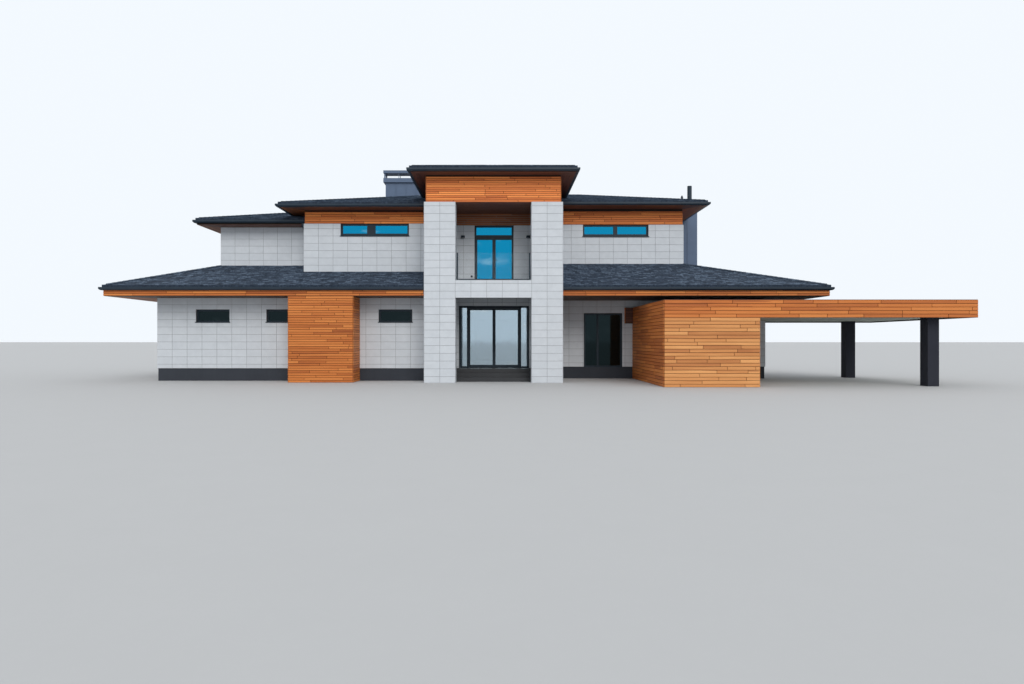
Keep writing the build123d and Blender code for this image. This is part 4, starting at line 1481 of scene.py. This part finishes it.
@dataclass
class WoodCladding:
    """Oiled boards on the friezes, the bay, the store and the carport's fascia."""

    plan: Plan
    thickness: float = 0.018
    joint: float = 0.013
    edge: float = 0.004
    shortest: float = 0.7
    longest: float = 2.6
    tower_rise: float = 0.0817
    frieze_rise: float = 0.095
    bay_rise: float = 0.0925
    carport_rise: float = 0.1212
    fascia_rise: float = 0.087
    painted_shade_gap: float = 0.065
    right_painted_shade_gap: float = 0.105
    beam_depth: float = 0.150
    flush: float = 0.03
    stepped: float = 0.1
    both_fronts: float = 1.6

    def courses(self, rise: float, base: float) -> BoardCourses:
        """Board courses of one height, from a line up."""
        sizes = (rise, self.shortest, self.thickness, self.joint)
        return BoardCourses(*sizes, base, edge=self.edge, longest=self.longest)

    def build(self) -> list[Piece]:
        """Boards every wooden surface.

        Returns:
            The finished pieces.
        """
        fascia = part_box("carport_fascia")[0].z
        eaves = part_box("lower_eaves")[0].z
        bay, lower, carport = (self.bay_rise, 0.0), (self.fascia_rise, eaves), (self.carport_rise, fascia)
        corner, behind = (Side.FRONT, Side.RIGHT), self.stepped
        rows = (
            ("boards_bay", "bay_walls", bay, FRONT_AND_ENDS, behind, Finish.BOARD),
            ("boards_lower_fascia", "lower_eaves", lower, WALLS, behind, Finish.BOARD),
            ("boards_fascia", "carport_fascia", carport, WALLS, behind, Finish.BOARD),
            ("boards_store", "store_walls", carport, corner, self.flush, Finish.STORE_BOARD),
        )
        pieces = [self.friezes()]
        for name, node, lines, sides, behind, finish in rows:
            covering = Covering(name)
            for side in sides:
                covering.lay(outer_sheet((node,), side.value, behind), side.value, self.courses(*lines))
            pieces.append(covering.close(finish))
        return pieces + self.store_side() + self.balcony_lining()

    def friezes(self) -> Piece:
        """Boards on the bands under the upper eaves, with a dark gap below each soffit; the near-black backing
        there adds painted shade to the gap's own shade.

        Returns:
            The finished piece.
        """
        seam, line = self.plan.tower, self.plan.frieze_line
        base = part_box("tower_frieze")[0].z
        tower_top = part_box("tower_eaves")[0].z - self.painted_shade_gap
        left_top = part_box("main_eaves")[0].z - self.painted_shade_gap
        right_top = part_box("upper_frieze")[1].z - self.right_painted_shade_gap
        tower, upper = ("tower_frieze", self.tower_rise), ("upper_frieze", self.frieze_rise)
        bands = (
            (*tower, base, self.stepped, FRONT_AND_ENDS, (None, None), tower_top),
            (*upper, line, self.both_fronts, WALLS, (None, seam), left_top),
            (*upper, line, self.both_fronts, WALLS, (seam, None), right_top),
        )
        covering = Covering("boards_friezes")
        for node, rise, bottom, behind, sides, span, top in bands:
            for side in sides:
                sheet = outer_sheet((node,), side.value, behind)
                trim(sheet, ACROSS, *span)
                trim(sheet, UP, None, top)
                covering.lay(sheet, side.value, self.courses(rise, bottom))
        return covering.close(Finish.PAINTED_LIGHT_FRIEZE_BOARD)

    def store_side(self) -> list[Piece]:
        """Boards on the store's left wall and on the beam end beside it.

        Returns:
            The finished pieces.
        """
        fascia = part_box("carport_fascia")[0]
        courses = self.courses(self.carport_rise, fascia.z)
        wall, beam = Covering("boards_store_side"), Covering("boards_beam_end")
        for place in (fascia.x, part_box("store_walls")[0].x):
            wall.lay(Stretch(Side.LEFT, place).sheet(("store_walls",)), Side.LEFT.value, courses)
        front = Stretch(Side.FRONT, self.plan.right_front - self.beam_depth)
        beam.lay(front.sheet(("store_walls",)), Side.FRONT.value, courses)
        # Painted shade: the beam end under the carport takes the deep-shade copy of the board finish.
        return [wall.close(Finish.BOARD), beam.close(Finish.SOFFIT)]

    def balcony_lining(self) -> list[Piece]:
        """Boards over the balcony door and on the balcony's ceiling.

        Returns:
            The finished pieces.
        """
        plan = self.plan
        span, above = (-plan.side_inner, plan.side_inner), (plan.frieze_line, None)
        over = Stretch(Side.FRONT, plan.porch_back, span=span, height=above).sheet(("balcony_wall",))
        wall, ceiling = Covering("boards_balcony"), Covering("boards_balcony_ceiling")
        wall.lay(over, Side.FRONT.value, self.courses(self.tower_rise, plan.frieze_line))
        sheet = flat_sheet(("tower_frieze",), Side.UNDER_X.value)
        trim(sheet, ACROSS, *span)
        trim(sheet, BACK, None, plan.porch_back)
        ceiling.lay(sheet, Side.UNDER_X.value, self.courses(self.frieze_rise, plan.tower_front))
        # Painted shade: the lining over the door takes the half-shade copy and the ceiling the deep-shade copy of
        # the board finish.
        return [wall.close(Finish.WARM_SOFFIT), ceiling.close(Finish.SOFFIT)]


@dataclass(frozen=True)
class Eave:
    """Underside of one overhang: its node, its group, the outline of its mitres and its ends."""

    node: str
    group: str
    left: float = -FAR
    right: float = FAR
    front: float = -FAR
    rear: float = FAR
    ends: Limits = (None, None)

    def at_end(self, face: Face) -> bool:
        """True for a face that belongs to a left or right overhang.

        Args:
            face: Face of the underside.

        Returns:
            True at an end, False at the front or the rear.
        """
        middle = face.calc_center_median()
        from_end = min(middle.x - self.left, self.right - middle.x)
        return from_end < min(middle.y - self.front, self.rear - middle.y)


@dataclass
class Soffits:
    """Boards under the overhangs, along each eave and mitred at the corners."""

    plan: Plan
    rise: float = 0.095
    joint: float = 0.006
    thickness: float = 0.010
    shortest: float = 1.2
    longest: float = 3.4
    stepped: float = 0.45

    def eaves(self) -> list[Eave]:
        """Overhangs of the house.

        Returns:
            The overhangs, in the order in which they are boarded.
        """
        plan = self.plan
        boxes = (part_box(f"{name}_eaves") for name in ("tower", "main", "left_room", "lower"))
        tower, main, room, lower = boxes
        seam, drop = plan.tower, main[1].y - plan.main_rear
        fore, aft = plan.right_front - drop, plan.right_rear + drop
        return [
            Eave("tower_eaves", "tower", tower[0].x, tower[1].x, tower[0].y),
            Eave("main_eaves", "main", main[0].x, FAR, main[0].y, main[1].y, (None, seam)),
            Eave("main_eaves", "main", -FAR, main[1].x, fore, aft, (seam, None)),
            Eave("left_room_eaves", "main", room[0].x, FAR, room[0].y, room[1].y),
            Eave("lower_eaves", "lower", lower[0].x, lower[1].x, lower[0].y, lower[1].y),
        ]

    def build(self) -> list[Piece]:
        """Boards every overhang.

        Returns:
            The finished pieces.
        """
        # Painted light and shade: fronts and rears take the deep-shade copy of the board finish and the ends the
        # lighter half-shade copy; the lower eave's fronts are dark boards with painted shade.
        dress = {
            "tower": Finish.SOFFIT,
            "main": Finish.SOFFIT,
            "main_ends": Finish.WARM_SOFFIT,
            "lower": Finish.LOWER_SOFFIT,
            "lower_ends": Finish.WARM_SOFFIT,
        }
        coverings = {group: Covering(f"soffit_{group}") for group in dress}
        for eave in self.eaves():
            long_sides = coverings[eave.group]
            self.board(eave, long_sides, coverings.get(f"{eave.group}_ends", long_sides))
        return [covering.close(dress[group]) for group, covering in coverings.items()]

    def board(self, eave: Eave, long_sides: Covering, short_sides: Covering) -> None:
        """Boards one overhang, along X at the front and rear and along Y at the ends.

        Args:
            eave: The overhang.
            long_sides: Covering of the front and the rear.
            short_sides: Covering of the ends.
        """
        sheet = outer_sheet((eave.node,), Side.UNDER_X.value, self.stepped)
        trim(sheet, ACROSS, *eave.ends)
        for x in (eave.left, eave.right):
            for y in (eave.front, eave.rear):
                if abs(x) < FAR and abs(y) < FAR:
                    across = 1.0 if (x == eave.left) == (y == eave.front) else -1.0
                    cut(sheet, Vector((x, y, 0.0)), Vector((1.0, -across, 0.0)).normalized())
        ends = sheet.copy()
        drop_faces(ends, lambda face: not eave.at_end(face))
        drop_faces(sheet, eave.at_end)
        courses = BoardCourses(self.rise, self.shortest, self.thickness, self.joint, longest=self.longest)
        long_sides.lay(sheet, Side.UNDER_X.value, courses)
        short_sides.lay(ends, Side.UNDER_Y.value, courses)


# Roofs


@dataclass
class ShingleRoofs:
    """Laminated shingles on every slope, with capped hips and ridges."""

    exposure: float = 0.145
    narrowest: float = 0.12
    widest: float = 0.30
    thickness: float = 0.009
    laminate: float = 0.010
    least: float = 0.05
    cap_width: float = 0.16
    cap_exposure: float = 0.20
    cap_thickness: float = 0.008
    cap_lap: float = 1.35
    cap_dip: float = 1.4
    saddle_from: str = "left_room_roof"
    saddle_onto: str = "main_roof"
    saddle_reach: float = 3.0
    saddle_probe: float = 0.3

    def roofs(self) -> dict[str, tuple[str, ...]]:
        """Nodes of each roof, by the last part of its pieces' names.

        Returns:
            The nodes of each roof.
        """
        roofs = {name: (f"{name}_roof",) for name in ("main", "tower", "left_room")}
        roofs["lower"] = tuple(f"lower_roof_{side}" for side in ("front", "left", "right", "rear"))
        return roofs

    def build(self) -> list[Piece]:
        """Shingles every roof.

        Returns:
            The finished pieces.
        """
        pieces = []
        for name, nodes in self.roofs().items():
            covering = Covering(f"shingles_{name}")
            for sheet, way in self.slopes(nodes):
                sizes = (self.exposure, self.narrowest, self.thickness, 0.0, reach(sheet, way.up)[0])
                courses = MixedCourses(*sizes, butt=self.laminate, least=self.least, longest=self.widest)
                covering.lay(sheet, way, courses)
            pieces.append(covering.close(Finish.SHINGLE))
            pieces.append(self.caps(f"caps_{name}", nodes))
        pieces.append(close_piece("roof_saddle", self.saddle(), Finish.SHINGLE))
        return pieces

    def saddle(self) -> Mesh:
        """Wedge that carries the far-left roof on until it meets the main roof's slope.

        Returns:
            A new closed mesh.
        """
        room = copy_nodes((self.saddle_from,))
        end = max(vertex.co.x for vertex in room.verts)
        crest = max(vertex.co.z for vertex in room.verts)
        middle = sum(corner.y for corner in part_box(self.saddle_from)) / 2
        planes = {}
        for face in room.faces:
            if MOSTLY < face.normal.z < SAME_SLOPE:
                key = tuple(round(part, 2) for part in face.normal)
                planes[key] = (face.verts[0].co.copy(), face.normal.copy())
        room.free()
        cuts = [(*plane, False) for plane in planes.values()]
        cuts.append((*slope_at(self.saddle_onto, end + self.saddle_probe, middle), True))
        size = 2 * self.saddle_reach
        shape = Matrix.Translation((end + size / 2, middle, crest)) @ Matrix.Diagonal((size, size, size, 1.0))
        wedge = bmesh.new()
        bmesh.ops.create_cube(wedge, size=1.0, matrix=shape)
        for place, normal, above in cuts:
            rim = cut(wedge, place, normal, below=not above, above=above)
            bmesh.ops.contextual_create(wedge, geom=pick(rim, Edge))
        bmesh.ops.recalc_face_normals(wedge, faces=wedge.faces[:])
        return wedge

    def tops(self, nodes: Sequence[str]) -> Mesh:
        """Upper faces of a roof, with the saddle's where it belongs to the roof.

        Args:
            nodes: Nodes of the roof.

        Returns:
            A new mesh.
        """
        whole = copy_nodes(nodes)
        if self.saddle_from in nodes:
            wedge = self.saddle()
            add_mesh(whole, wedge)
            wedge.free()
            bmesh.ops.remove_doubles(whole, verts=whole.verts[:], dist=10 * MERGE)
            whole.normal_update()
        drop_faces(whole, lambda face: face.normal.z < MOSTLY)
        return whole

    def slopes(self, nodes: Sequence[str]) -> list[tuple[Mesh, Lie]]:
        """Flat sheets of a roof, one per slope, each with its lie.

        Args:
            nodes: Nodes of the roof.

        Returns:
            Sheet and lie of each slope.
        """
        whole = self.tops(nodes)
        planes: dict[Triple, list[Face]] = {}
        for face in whole.faces:
            normal = face.normal
            if normal.z < SAME_SLOPE:
                height = round(normal.dot(face.verts[0].co), 1)
                planes.setdefault((round(normal.x, 2), round(normal.y, 2), height), []).append(face)
        found = []
        for faces in planes.values():
            normal = faces[0].normal.copy()
            keep = {face.index for face in faces}
            sheet = whole.copy()
            drop_faces(sheet, lambda face: face.index not in keep)
            up = (UP - normal * normal.z).normalized()
            found.append((sheet, Lie(normal, up.cross(normal).normalized(), up)))
        whole.free()
        return found

    def caps(self, name: str, nodes: Sequence[str]) -> Piece:
        """Lays overlapping caps up every hip and along every ridge.

        Args:
            name: Name of the piece.
            nodes: Nodes of the roof.

        Returns:
            The finished piece.
        """
        whole = self.tops(nodes)
        flatten(whole)
        caps = bmesh.new()
        tone = caps.faces.layers.float.new("tone")
        chance = random.Random(name)
        for edge in whole.edges:
            if len(edge.link_faces) == 2 and edge.is_convex and edge.calc_length() > self.cap_exposure:
                self.cap_line(caps, edge, tone, chance)
        whole.free()
        return close_piece(name, caps, Finish.SHINGLE)

    def cap_line(self, caps: Mesh, edge: Edge, tone: Any, chance: random.Random) -> None:
        """Lays the caps of one hip or ridge, from its low end up.

        Args:
            caps: Mesh that takes them.
            edge: The hip or the ridge.
            tone: Layer of the tones.
            chance: Source of random numbers.
        """
        low, high = sorted((vertex.co.copy() for vertex in edge.verts), key=lambda place: place.z)
        ahead = (high - low).normalized()
        if high.z - low.z > self.cap_exposure:
            low += ahead * self.cap_width
        outward = sum((face.normal for face in edge.link_faces), Vector()).normalized()
        wings = []
        for face in edge.link_faces:
            wing = ahead.cross(face.normal).normalized()
            if wing.dot(face.calc_center_median() - (low + high) / 2) < 0:
                wing.negate()
            wings.append(wing * self.cap_width)
        count = max(1, round((high - low).length / self.cap_exposure))
        step = (high - low) / count
        for number in range(count):
            start = low + step * number + outward * (self.thickness + self.laminate + 2 * self.cap_thickness)
            end = start + step * self.cap_lap - outward * self.cap_dip * self.cap_thickness
            if number == count - 1:
                end = start + step - outward * self.cap_thickness
            self.cap(caps, (start, end), wings, outward, tone, chance.random())

    def cap(
        self,
        caps: Mesh,
        fold: tuple[Vector, Vector],
        wings: list[Vector],
        outward: Vector,
        tone: Any,
        shade: float,
    ) -> None:
        """Adds one folded cap.

        Args:
            caps: Mesh that takes it.
            fold: Low and high end of its fold.
            wings: From the fold to each of its edges.
            outward: Direction away from the roof.
            tone: Layer of the tones.
            shade: Its tone.
        """
        middle = caps.edges.new([caps.verts.new(place) for place in fold])
        faces = []
        for wing in wings:
            made = bmesh.ops.extrude_edge_only(caps, edges=[middle])["geom"]
            bmesh.ops.translate(caps, verts=pick(made, Corner), vec=wing)
            faces.extend(pick(made, Face))
        for face in faces:
            face[tone] = shade
        bmesh.ops.recalc_face_normals(caps, faces=faces)
        if faces[0].normal.dot(outward) < 0:
            bmesh.ops.reverse_faces(caps, faces=faces)
        bmesh.ops.solidify(caps, geom=faces, thickness=self.cap_thickness)


# Glazing


@dataclass
class Glazing:
    """Sashes and beads round every pane."""

    bead: float = 0.014
    proud: float = 0.012
    rail: float = 0.075
    low_pane: float = 0.55
    leaf_stile: float = 0.050
    leaf_pane: float = 1.5
    sash_proud: float = 0.014
    sash_edge: float = 0.004
    beads_of: tuple[tuple[str, str], ...] = (
        ("ground_window_beads", "ground_window_glass"),
        ("upper_window_beads", "upper_window_glass"),
        ("entrance_beads", "entrance_side_lights"),
    )

    def build(self) -> list[Piece]:
        """Puts a bead on both faces of every pane.

        Returns:
            The finished pieces.
        """
        pieces = []
        for name, node in self.beads_of:
            panes = copy_nodes((node,))
            mesh = bmesh.new()
            for low, high in islands(panes):
                self.beads(mesh, low, high)
                if node == "upper_window_glass":
                    self.sash(mesh, low, high)
            panes.free()
            pieces.append(close_piece(name, mesh, Finish.METAL))
        return pieces

    def sash(self, mesh: Mesh, low: Vector, high: Vector) -> None:
        """Adds a broad bottom rail to a low pane, or a broad stile to the balcony door's left leaf.

        Args:
            mesh: Mesh that takes it.
            low: Lowest corner of the pane.
            high: Highest corner of the pane.
        """
        height = high.z - low.z
        out = Vector()
        out[0 if high.x - low.x < high.y - low.y else 1] = self.sash_proud
        top = high.copy()
        if height < self.low_pane:
            top.z = low.z + self.rail
            add_box(mesh, low - out, top + out, self.sash_edge)
        elif height > self.leaf_pane and low.x < 0.0:
            top.x = low.x + self.leaf_stile
            add_box(mesh, low - out, top + out, self.sash_edge)

    def beads(self, mesh: Mesh, low: Vector, high: Vector) -> None:
        """Frames one pane on both of its faces.

        Args:
            mesh: Mesh that takes them.
            low: Lowest corner of the pane.
            high: Highest corner of the pane.
        """
        size = high - low
        thin = 0 if size.x < size.y else 1
        quarter = math.radians(90)
        turn = Matrix.Rotation(quarter, 4, "X")
        if thin == 0:
            turn = Matrix.Rotation(quarter, 4, "Z") @ turn
        shape = turn @ Matrix.Diagonal((size[1 - thin], size.z, 1.0, 1.0))
        for face_place, way in ((low[thin], -1.0), (high[thin], 1.0)):
            middle = (low + high) / 2
            middle[thin] = face_place
            matrix = Matrix.Translation(middle) @ shape
            made = bmesh.ops.create_grid(mesh, x_segments=1, y_segments=1, size=0.5, matrix=matrix)
            pane = list({face for vertex in made["verts"] for face in vertex.link_faces})
            ring = bmesh.ops.inset_region(
                mesh, faces=pane, thickness=self.bead, use_even_offset=True, use_boundary=True
            )["faces"]
            bmesh.ops.delete(mesh, geom=pane, context="FACES")
            push = Vector()
            push[thin] = way * self.proud
            grow(mesh, ring, push)
        bmesh.ops.recalc_face_normals(mesh, faces=mesh.faces[:])


# Chimneys


@dataclass
class ChimneyCladding:
    """Standing seams on the sheet-metal chimneys and a zinc collar where they leave the roof."""

    pitch: float = 0.48
    seam: float = 0.016
    proud: float = 0.022
    collar: float = 0.09
    collar_proud: float = 0.008
    outset: float = 0.05
    shafts: tuple[tuple[str, str, float], ...] = (
        ("left_chimney", "main_roof", 9.13),
        ("right_chimney", "lower_roof_right", 7.98),
    )

    def build(self) -> list[Piece]:
        """Makes the seams and the collars.

        Returns:
            The finished pieces.
        """
        seams, collars = bmesh.new(), bmesh.new()
        for node, roof, top in self.shafts:
            planes = self.roof_planes(node, roof)
            for side in WALLS:
                way = side.value
                shaft = self.shaft(node, way, top)
                self.add_seams(seams, shaft, way)
                for place, normal in planes:
                    trim(shaft, normal, None, place.dot(normal) + self.collar)
                for place, normal in planes[:1]:
                    trim(shaft, normal, place.dot(normal))
                raise_sheet(shaft, way.normal * self.collar_proud, collars)
        return [
            close_piece("chimney_seams", seams, Finish.SLATE_METAL),
            close_piece("chimney_collars", collars, Finish.ZINC),
        ]

    def shaft(self, node: str, way: Lie, top: float) -> Mesh:
        """Faces of a chimney's shaft that look one way, up to a level.

        Args:
            node: The chimney.
            way: Where the faces look.
            top: Level of the shaft's top.

        Returns:
            A new mesh of flat faces.
        """
        sheet = flat_sheet((node,), way)
        lowest = min(sheet.faces, key=lambda face: min(vertex.co.z for vertex in face.verts))
        place = depth(lowest, way)
        drop_faces(sheet, lambda face: abs(depth(face, way) - place) > SAME_PLANE)
        trim(sheet, UP, None, top)
        return sheet

    def add_seams(self, mesh: Mesh, shaft: Mesh, way: Lie) -> None:
        """Adds upright seams at even distances across one face of a shaft.

        Args:
            mesh: Mesh that takes them.
            shaft: Faces of the shaft.
            way: Where they look.
        """
        low, high = reach(shaft, way.along)
        count = max(1, round((high - low) / self.pitch))
        for number in range(1, count):
            middle = low + number * (high - low) / count
            strip = shaft.copy()
            trim(strip, way.along, middle - self.seam / 2, middle + self.seam / 2)
            raise_sheet(strip, way.normal * self.proud, mesh)

    def roof_planes(self, node: str, roof: str) -> list[tuple[Vector, Vector]]:
        """Slopes of a roof that a chimney stands in, as places and normals.

        Args:
            node: The chimney.
            roof: The roof round it.

        Returns:
            A place and the normal of each slope.
        """
        low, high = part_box(node)
        found: list[tuple[Vector, Vector]] = []
        for x in (low.x - self.outset, high.x + self.outset):
            for y in (low.y - self.outset, high.y + self.outset):
                hit = slope_at(roof, x, y)
                if hit and all(hit[1].dot(other) < SAME_SLOPE for _, other in found):
                    found.append(hit)
        return found


# Balcony fittings and steps


@dataclass
class BalconyFittings:
    """Wall lamps, a covered socket and the door's handle."""

    plan: Plan
    lamp_x: tuple[float, float] = (-1.29, 1.42)
    lamp_z: float = 5.93
    lamp_radius: float = 0.080
    lamp_height: float = 0.100
    lamp_off_wall: float = 0.112
    lamp_segments: int = 28
    lens_play: float = 0.0085
    lens_depth: float = 0.016
    lens_thickness: float = 0.006
    socket_place: tuple[float, float] = (-0.93, 4.29)
    tile: float = 0.010
    door_face: float = 0.09

    def build(self) -> list[Piece]:
        """Makes the fittings."""
        return [self.lamps(), self.lenses(), self.socket(), self.handle()]

    def lamps(self) -> Piece:
        """Two up-and-down cylinder lamps on their wall plates.

        Returns:
            The finished piece.
        """
        mesh = bmesh.new()
        wall = self.plan.porch_back
        plate = ((-0.045, -0.030, -0.05), (0.045, -0.008, 0.05), 0.003)
        arm = ((-0.015, -0.05, -0.02), (0.015, -0.025, 0.02), 0.002)
        rim, recess = (0.006, 0.0), (0.001, -0.02)
        for x in self.lamp_x:
            place = (x, wall - self.lamp_off_wall, self.lamp_z)
            made = add_disc(mesh, place, self.lamp_radius, self.lamp_height, self.lamp_segments)
            faces = {face for vertex in made for face in vertex.link_faces}
            caps = [face for face in faces if abs(face.normal.z) > PARALLEL]
            for width, sink in (rim, recess):
                bmesh.ops.inset_region(mesh, faces=caps, thickness=width, depth=sink, use_even_offset=True)
            add_boxes(mesh, (x, wall, self.lamp_z), (plate, arm))
        return close_piece("wall_lamps", mesh, Finish.METAL)

    def lenses(self) -> Piece:
        """Opal covers inside both ends of each lamp.

        Returns:
            The finished piece.
        """
        mesh = bmesh.new()
        radius = self.lamp_radius - self.lens_play
        for x in self.lamp_x:
            for end in (-1, 1):
                z = self.lamp_z + end * (self.lamp_height / 2 - self.lens_depth)
                place = (x, self.plan.porch_back - self.lamp_off_wall, z)
                add_disc(mesh, place, radius, self.lens_thickness, self.lamp_segments)
        return close_piece("lamp_lenses", mesh, Finish.OPAL)

    def socket(self) -> Piece:
        """Covered outdoor socket beside the balcony door.

        Returns:
            The finished piece.
        """
        mesh = bmesh.new()
        x, z = self.socket_place
        case = ((-0.04, -0.045, -0.04), (0.04, 0.0, 0.04), 0.006)
        lid = ((-0.034, -0.055, -0.034), (0.034, -0.044, 0.034), 0.004)
        add_boxes(mesh, (x, self.plan.porch_back - self.tile, z), (case, lid))
        return close_piece("balcony_socket", mesh, Finish.METAL)

    def handle(self) -> Piece:
        """Lever handle on the balcony door's middle stile.

        Returns:
            The finished piece.
        """
        mesh = bmesh.new()
        plate = ((0.012, -0.010, 4.86), (0.040, 0.002, 5.04), 0.003)
        neck = ((0.018, -0.050, 4.98), (0.034, -0.008, 4.996), 0.002)
        lever = ((0.018, -0.058, 4.976), (0.145, -0.046, 5.000), 0.004)
        add_boxes(mesh, (0.0, self.plan.porch_back + self.door_face, 0.0), (plate, neck, lever))
        return close_piece("balcony_handle", mesh, Finish.METAL)


@dataclass
class StoneTreads:
    """Stone slabs on the entrance steps and landing."""

    slab: float = 0.9
    thickness: float = 0.012
    joint: float = 0.003
    edge: float = 0.003
    tread: float = 0.33
    tallest: float = 10.0

    def build(self) -> list[Piece]:
        """Lays slabs on the treads and risers.

        Returns:
            The finished pieces.
        """
        covering = Covering("step_slabs")
        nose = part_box("entrance_steps")[0].y
        for side, rise, base in ((Side.TOP, self.tread, nose), (Side.FRONT, self.tallest, 0.0)):
            sizes = (rise, self.slab, self.thickness, self.joint, base)
            courses = Courses(*sizes, -self.slab / 2, self.edge)
            covering.lay(flat_sheet(("entrance_steps",), side.value), side.value, courses)
        return [covering.close(Finish.STONE)]


# Rainwater goods


@dataclass
class Rainwater:
    """Straps round the gutters and clips on the downpipes."""

    pitch: float = 0.75
    shortest: float = 0.5
    strap: float = 0.028
    proud: float = 0.004
    droop: float = 0.4
    clip_pitch: float = 1.5
    clip_proud: float = 0.006
    clip_height: float = 0.035
    clip_segments: int = 32

    def build(self) -> list[Piece]:
        """Makes the straps and the clips.

        Returns:
            The finished pieces.
        """
        mesh = bmesh.new()
        for side in WALLS:
            self.straps(mesh, side.value)
        clips = self.clips()
        return [close_piece("gutter_straps", mesh, Finish.GUTTER), clips]

    def straps(self, mesh: Mesh, way: Lie) -> None:
        """Adds straps round the face and the bevel of every gutter that looks one way.

        Args:
            mesh: Mesh that takes them.
            way: Where the gutters look.
        """
        bevel = (way.normal - UP).normalized()
        gutters = copy_nodes(("gutters",))
        drop_faces(gutters, lambda face: max(face.normal.dot(way.normal), face.normal.dot(bevel)) < PARALLEL)
        flatten(gutters)
        for low, high in islands(gutters):
            start, end = sorted((low.dot(way.along), high.dot(way.along)))
            if end - start < self.shortest:
                continue
            count = max(1, round((end - start) / self.pitch))
            for number in range(count):
                middle = start + (number + 0.5) * (end - start) / count
                sheet = gutters.copy()
                trim(sheet, way.along, middle - self.strap / 2, middle + self.strap / 2)
                drop_faces(sheet, lambda face: not self.inside(face.calc_center_median(), low, high))
                raise_sheet(sheet, (way.normal - UP * self.droop) * self.proud, mesh)
        gutters.free()

    @staticmethod
    def inside(place: Vector, low: Vector, high: Vector) -> bool:
        """True for a place within a box."""
        return all(a - MERGE < b < c + MERGE for a, b, c in zip(low, place, high))

    def clips(self) -> Piece:
        """Ring clips on the downpipes.

        Returns:
            The finished piece.
        """
        pipes = copy_nodes(("downpipes",))
        mesh = bmesh.new()
        for low, high in islands(pipes):
            radius = (high.x - low.x) / 2 + self.clip_proud
            height = high.z - low.z
            count = max(2, round(height / self.clip_pitch))
            for number in range(count):
                z = low.z + (number + 0.5) * height / count
                place = ((low.x + high.x) / 2, (low.y + high.y) / 2, z)
                add_disc(mesh, place, radius, self.clip_height, self.clip_segments)
        pipes.free()
        return close_piece("downpipe_clips", mesh, Finish.GUTTER)


# Studio


@dataclass
class Studio:
    """Pale floor, soft light and the camera at the street."""

    eye: Triple = (0.25, -27.64, 1.6)
    lens: float = 24.0
    sensor: float = 36.0
    vanishing_x: float = 500.0
    horizon_y: float = 341.0
    floor_half: float = 900.0
    view_end: float = 3000.0
    floor_finish: RenderFinish = RenderFinish(
        "studio_floor", rgb(0.47, 0.47, 0.47), rgb(0.45, 0.45, 0.45), 2.0, 0.0
    )
    sky: Colour = rgb(0.90, 0.95, 1.0)
    sun: Triple = (1.0, 0.965, 0.92)
    sun_strength: float = 1.4
    sun_spread: float = 35.0
    sun_tilt: float = 58.0
    sun_turn: float = 14.0

    def build(self) -> None:
        """Makes the stage."""
        self.floor()
        self.light()
        self.camera()

    @staticmethod
    def place(name: str, data: Any) -> bpy.types.Object:
        """Puts an object with some data into the scene.

        Args:
            name: Name of the object.
            data: Its mesh, lamp or camera.

        Returns:
            The object.
        """
        item = bpy.data.objects.new(name, data)
        bpy.context.scene.collection.objects.link(item)
        return item

    def floor(self) -> None:
        """Level pale floor."""
        mesh = bmesh.new()
        bmesh.ops.create_grid(mesh, x_segments=1, y_segments=1, size=self.floor_half)
        data = bpy.data.meshes.new("studio_floor")
        mesh.to_mesh(data)
        mesh.free()
        data.materials.append(self.floor_finish.material())
        self.place("studio_floor", data)

    def light(self) -> None:
        """Even pale surroundings and one broad soft lamp from the front right."""
        world = bpy.data.worlds.new("studio")
        bpy.context.scene.world = world
        world.use_nodes = True
        background = world.node_tree.nodes["Background"]
        background.inputs["Color"].default_value = self.sky
        background.inputs["Strength"].default_value = 1.0
        lamp = bpy.data.lights.new("soft_key", "SUN")
        lamp.energy = self.sun_strength
        lamp.angle = math.radians(self.sun_spread)
        lamp.color = self.sun
        key = self.place("soft_key", lamp)
        key.rotation_euler = (math.radians(self.sun_tilt), 0.0, math.radians(self.sun_turn))
        bpy.context.scene.view_settings.view_transform = "Standard"

    def camera(self) -> None:
        """Level camera at eye height, square to the front."""
        data = bpy.data.cameras.new("street_camera")
        data.lens = self.lens
        data.sensor_width = self.sensor
        data.shift_x = (PHOTO_WIDTH / 2 - self.vanishing_x) / PHOTO_WIDTH
        data.shift_y = (self.horizon_y - PHOTO_HEIGHT / 2) / PHOTO_WIDTH
        data.clip_end = self.view_end
        camera = self.place("street_camera", data)
        camera.location = self.eye
        camera.rotation_euler = (math.radians(90), 0.0, 0.0)
        bpy.context.scene.camera = camera


def main() -> None:
    """Builds the sub-assemblies in order."""
    logging.basicConfig(level=logging.INFO, format="%(name)s %(message)s")
    plan = Plan.read()
    dress_nodes()
    for assembly in (
        TiledWalls(plan),
        FlatCovers(plan),
        WoodCladding(plan),
        Soffits(plan),
        ShingleRoofs(),
        Glazing(),
        ChimneyCladding(),
        BalconyFittings(plan),
        StoneTreads(),
        Rainwater(),
    ):
        pieces = assembly.build()
        log.info("%s: %d pieces", type(assembly).__name__, len(pieces))
    Studio().build()
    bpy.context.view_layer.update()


if __name__ == "__main__":
    main()
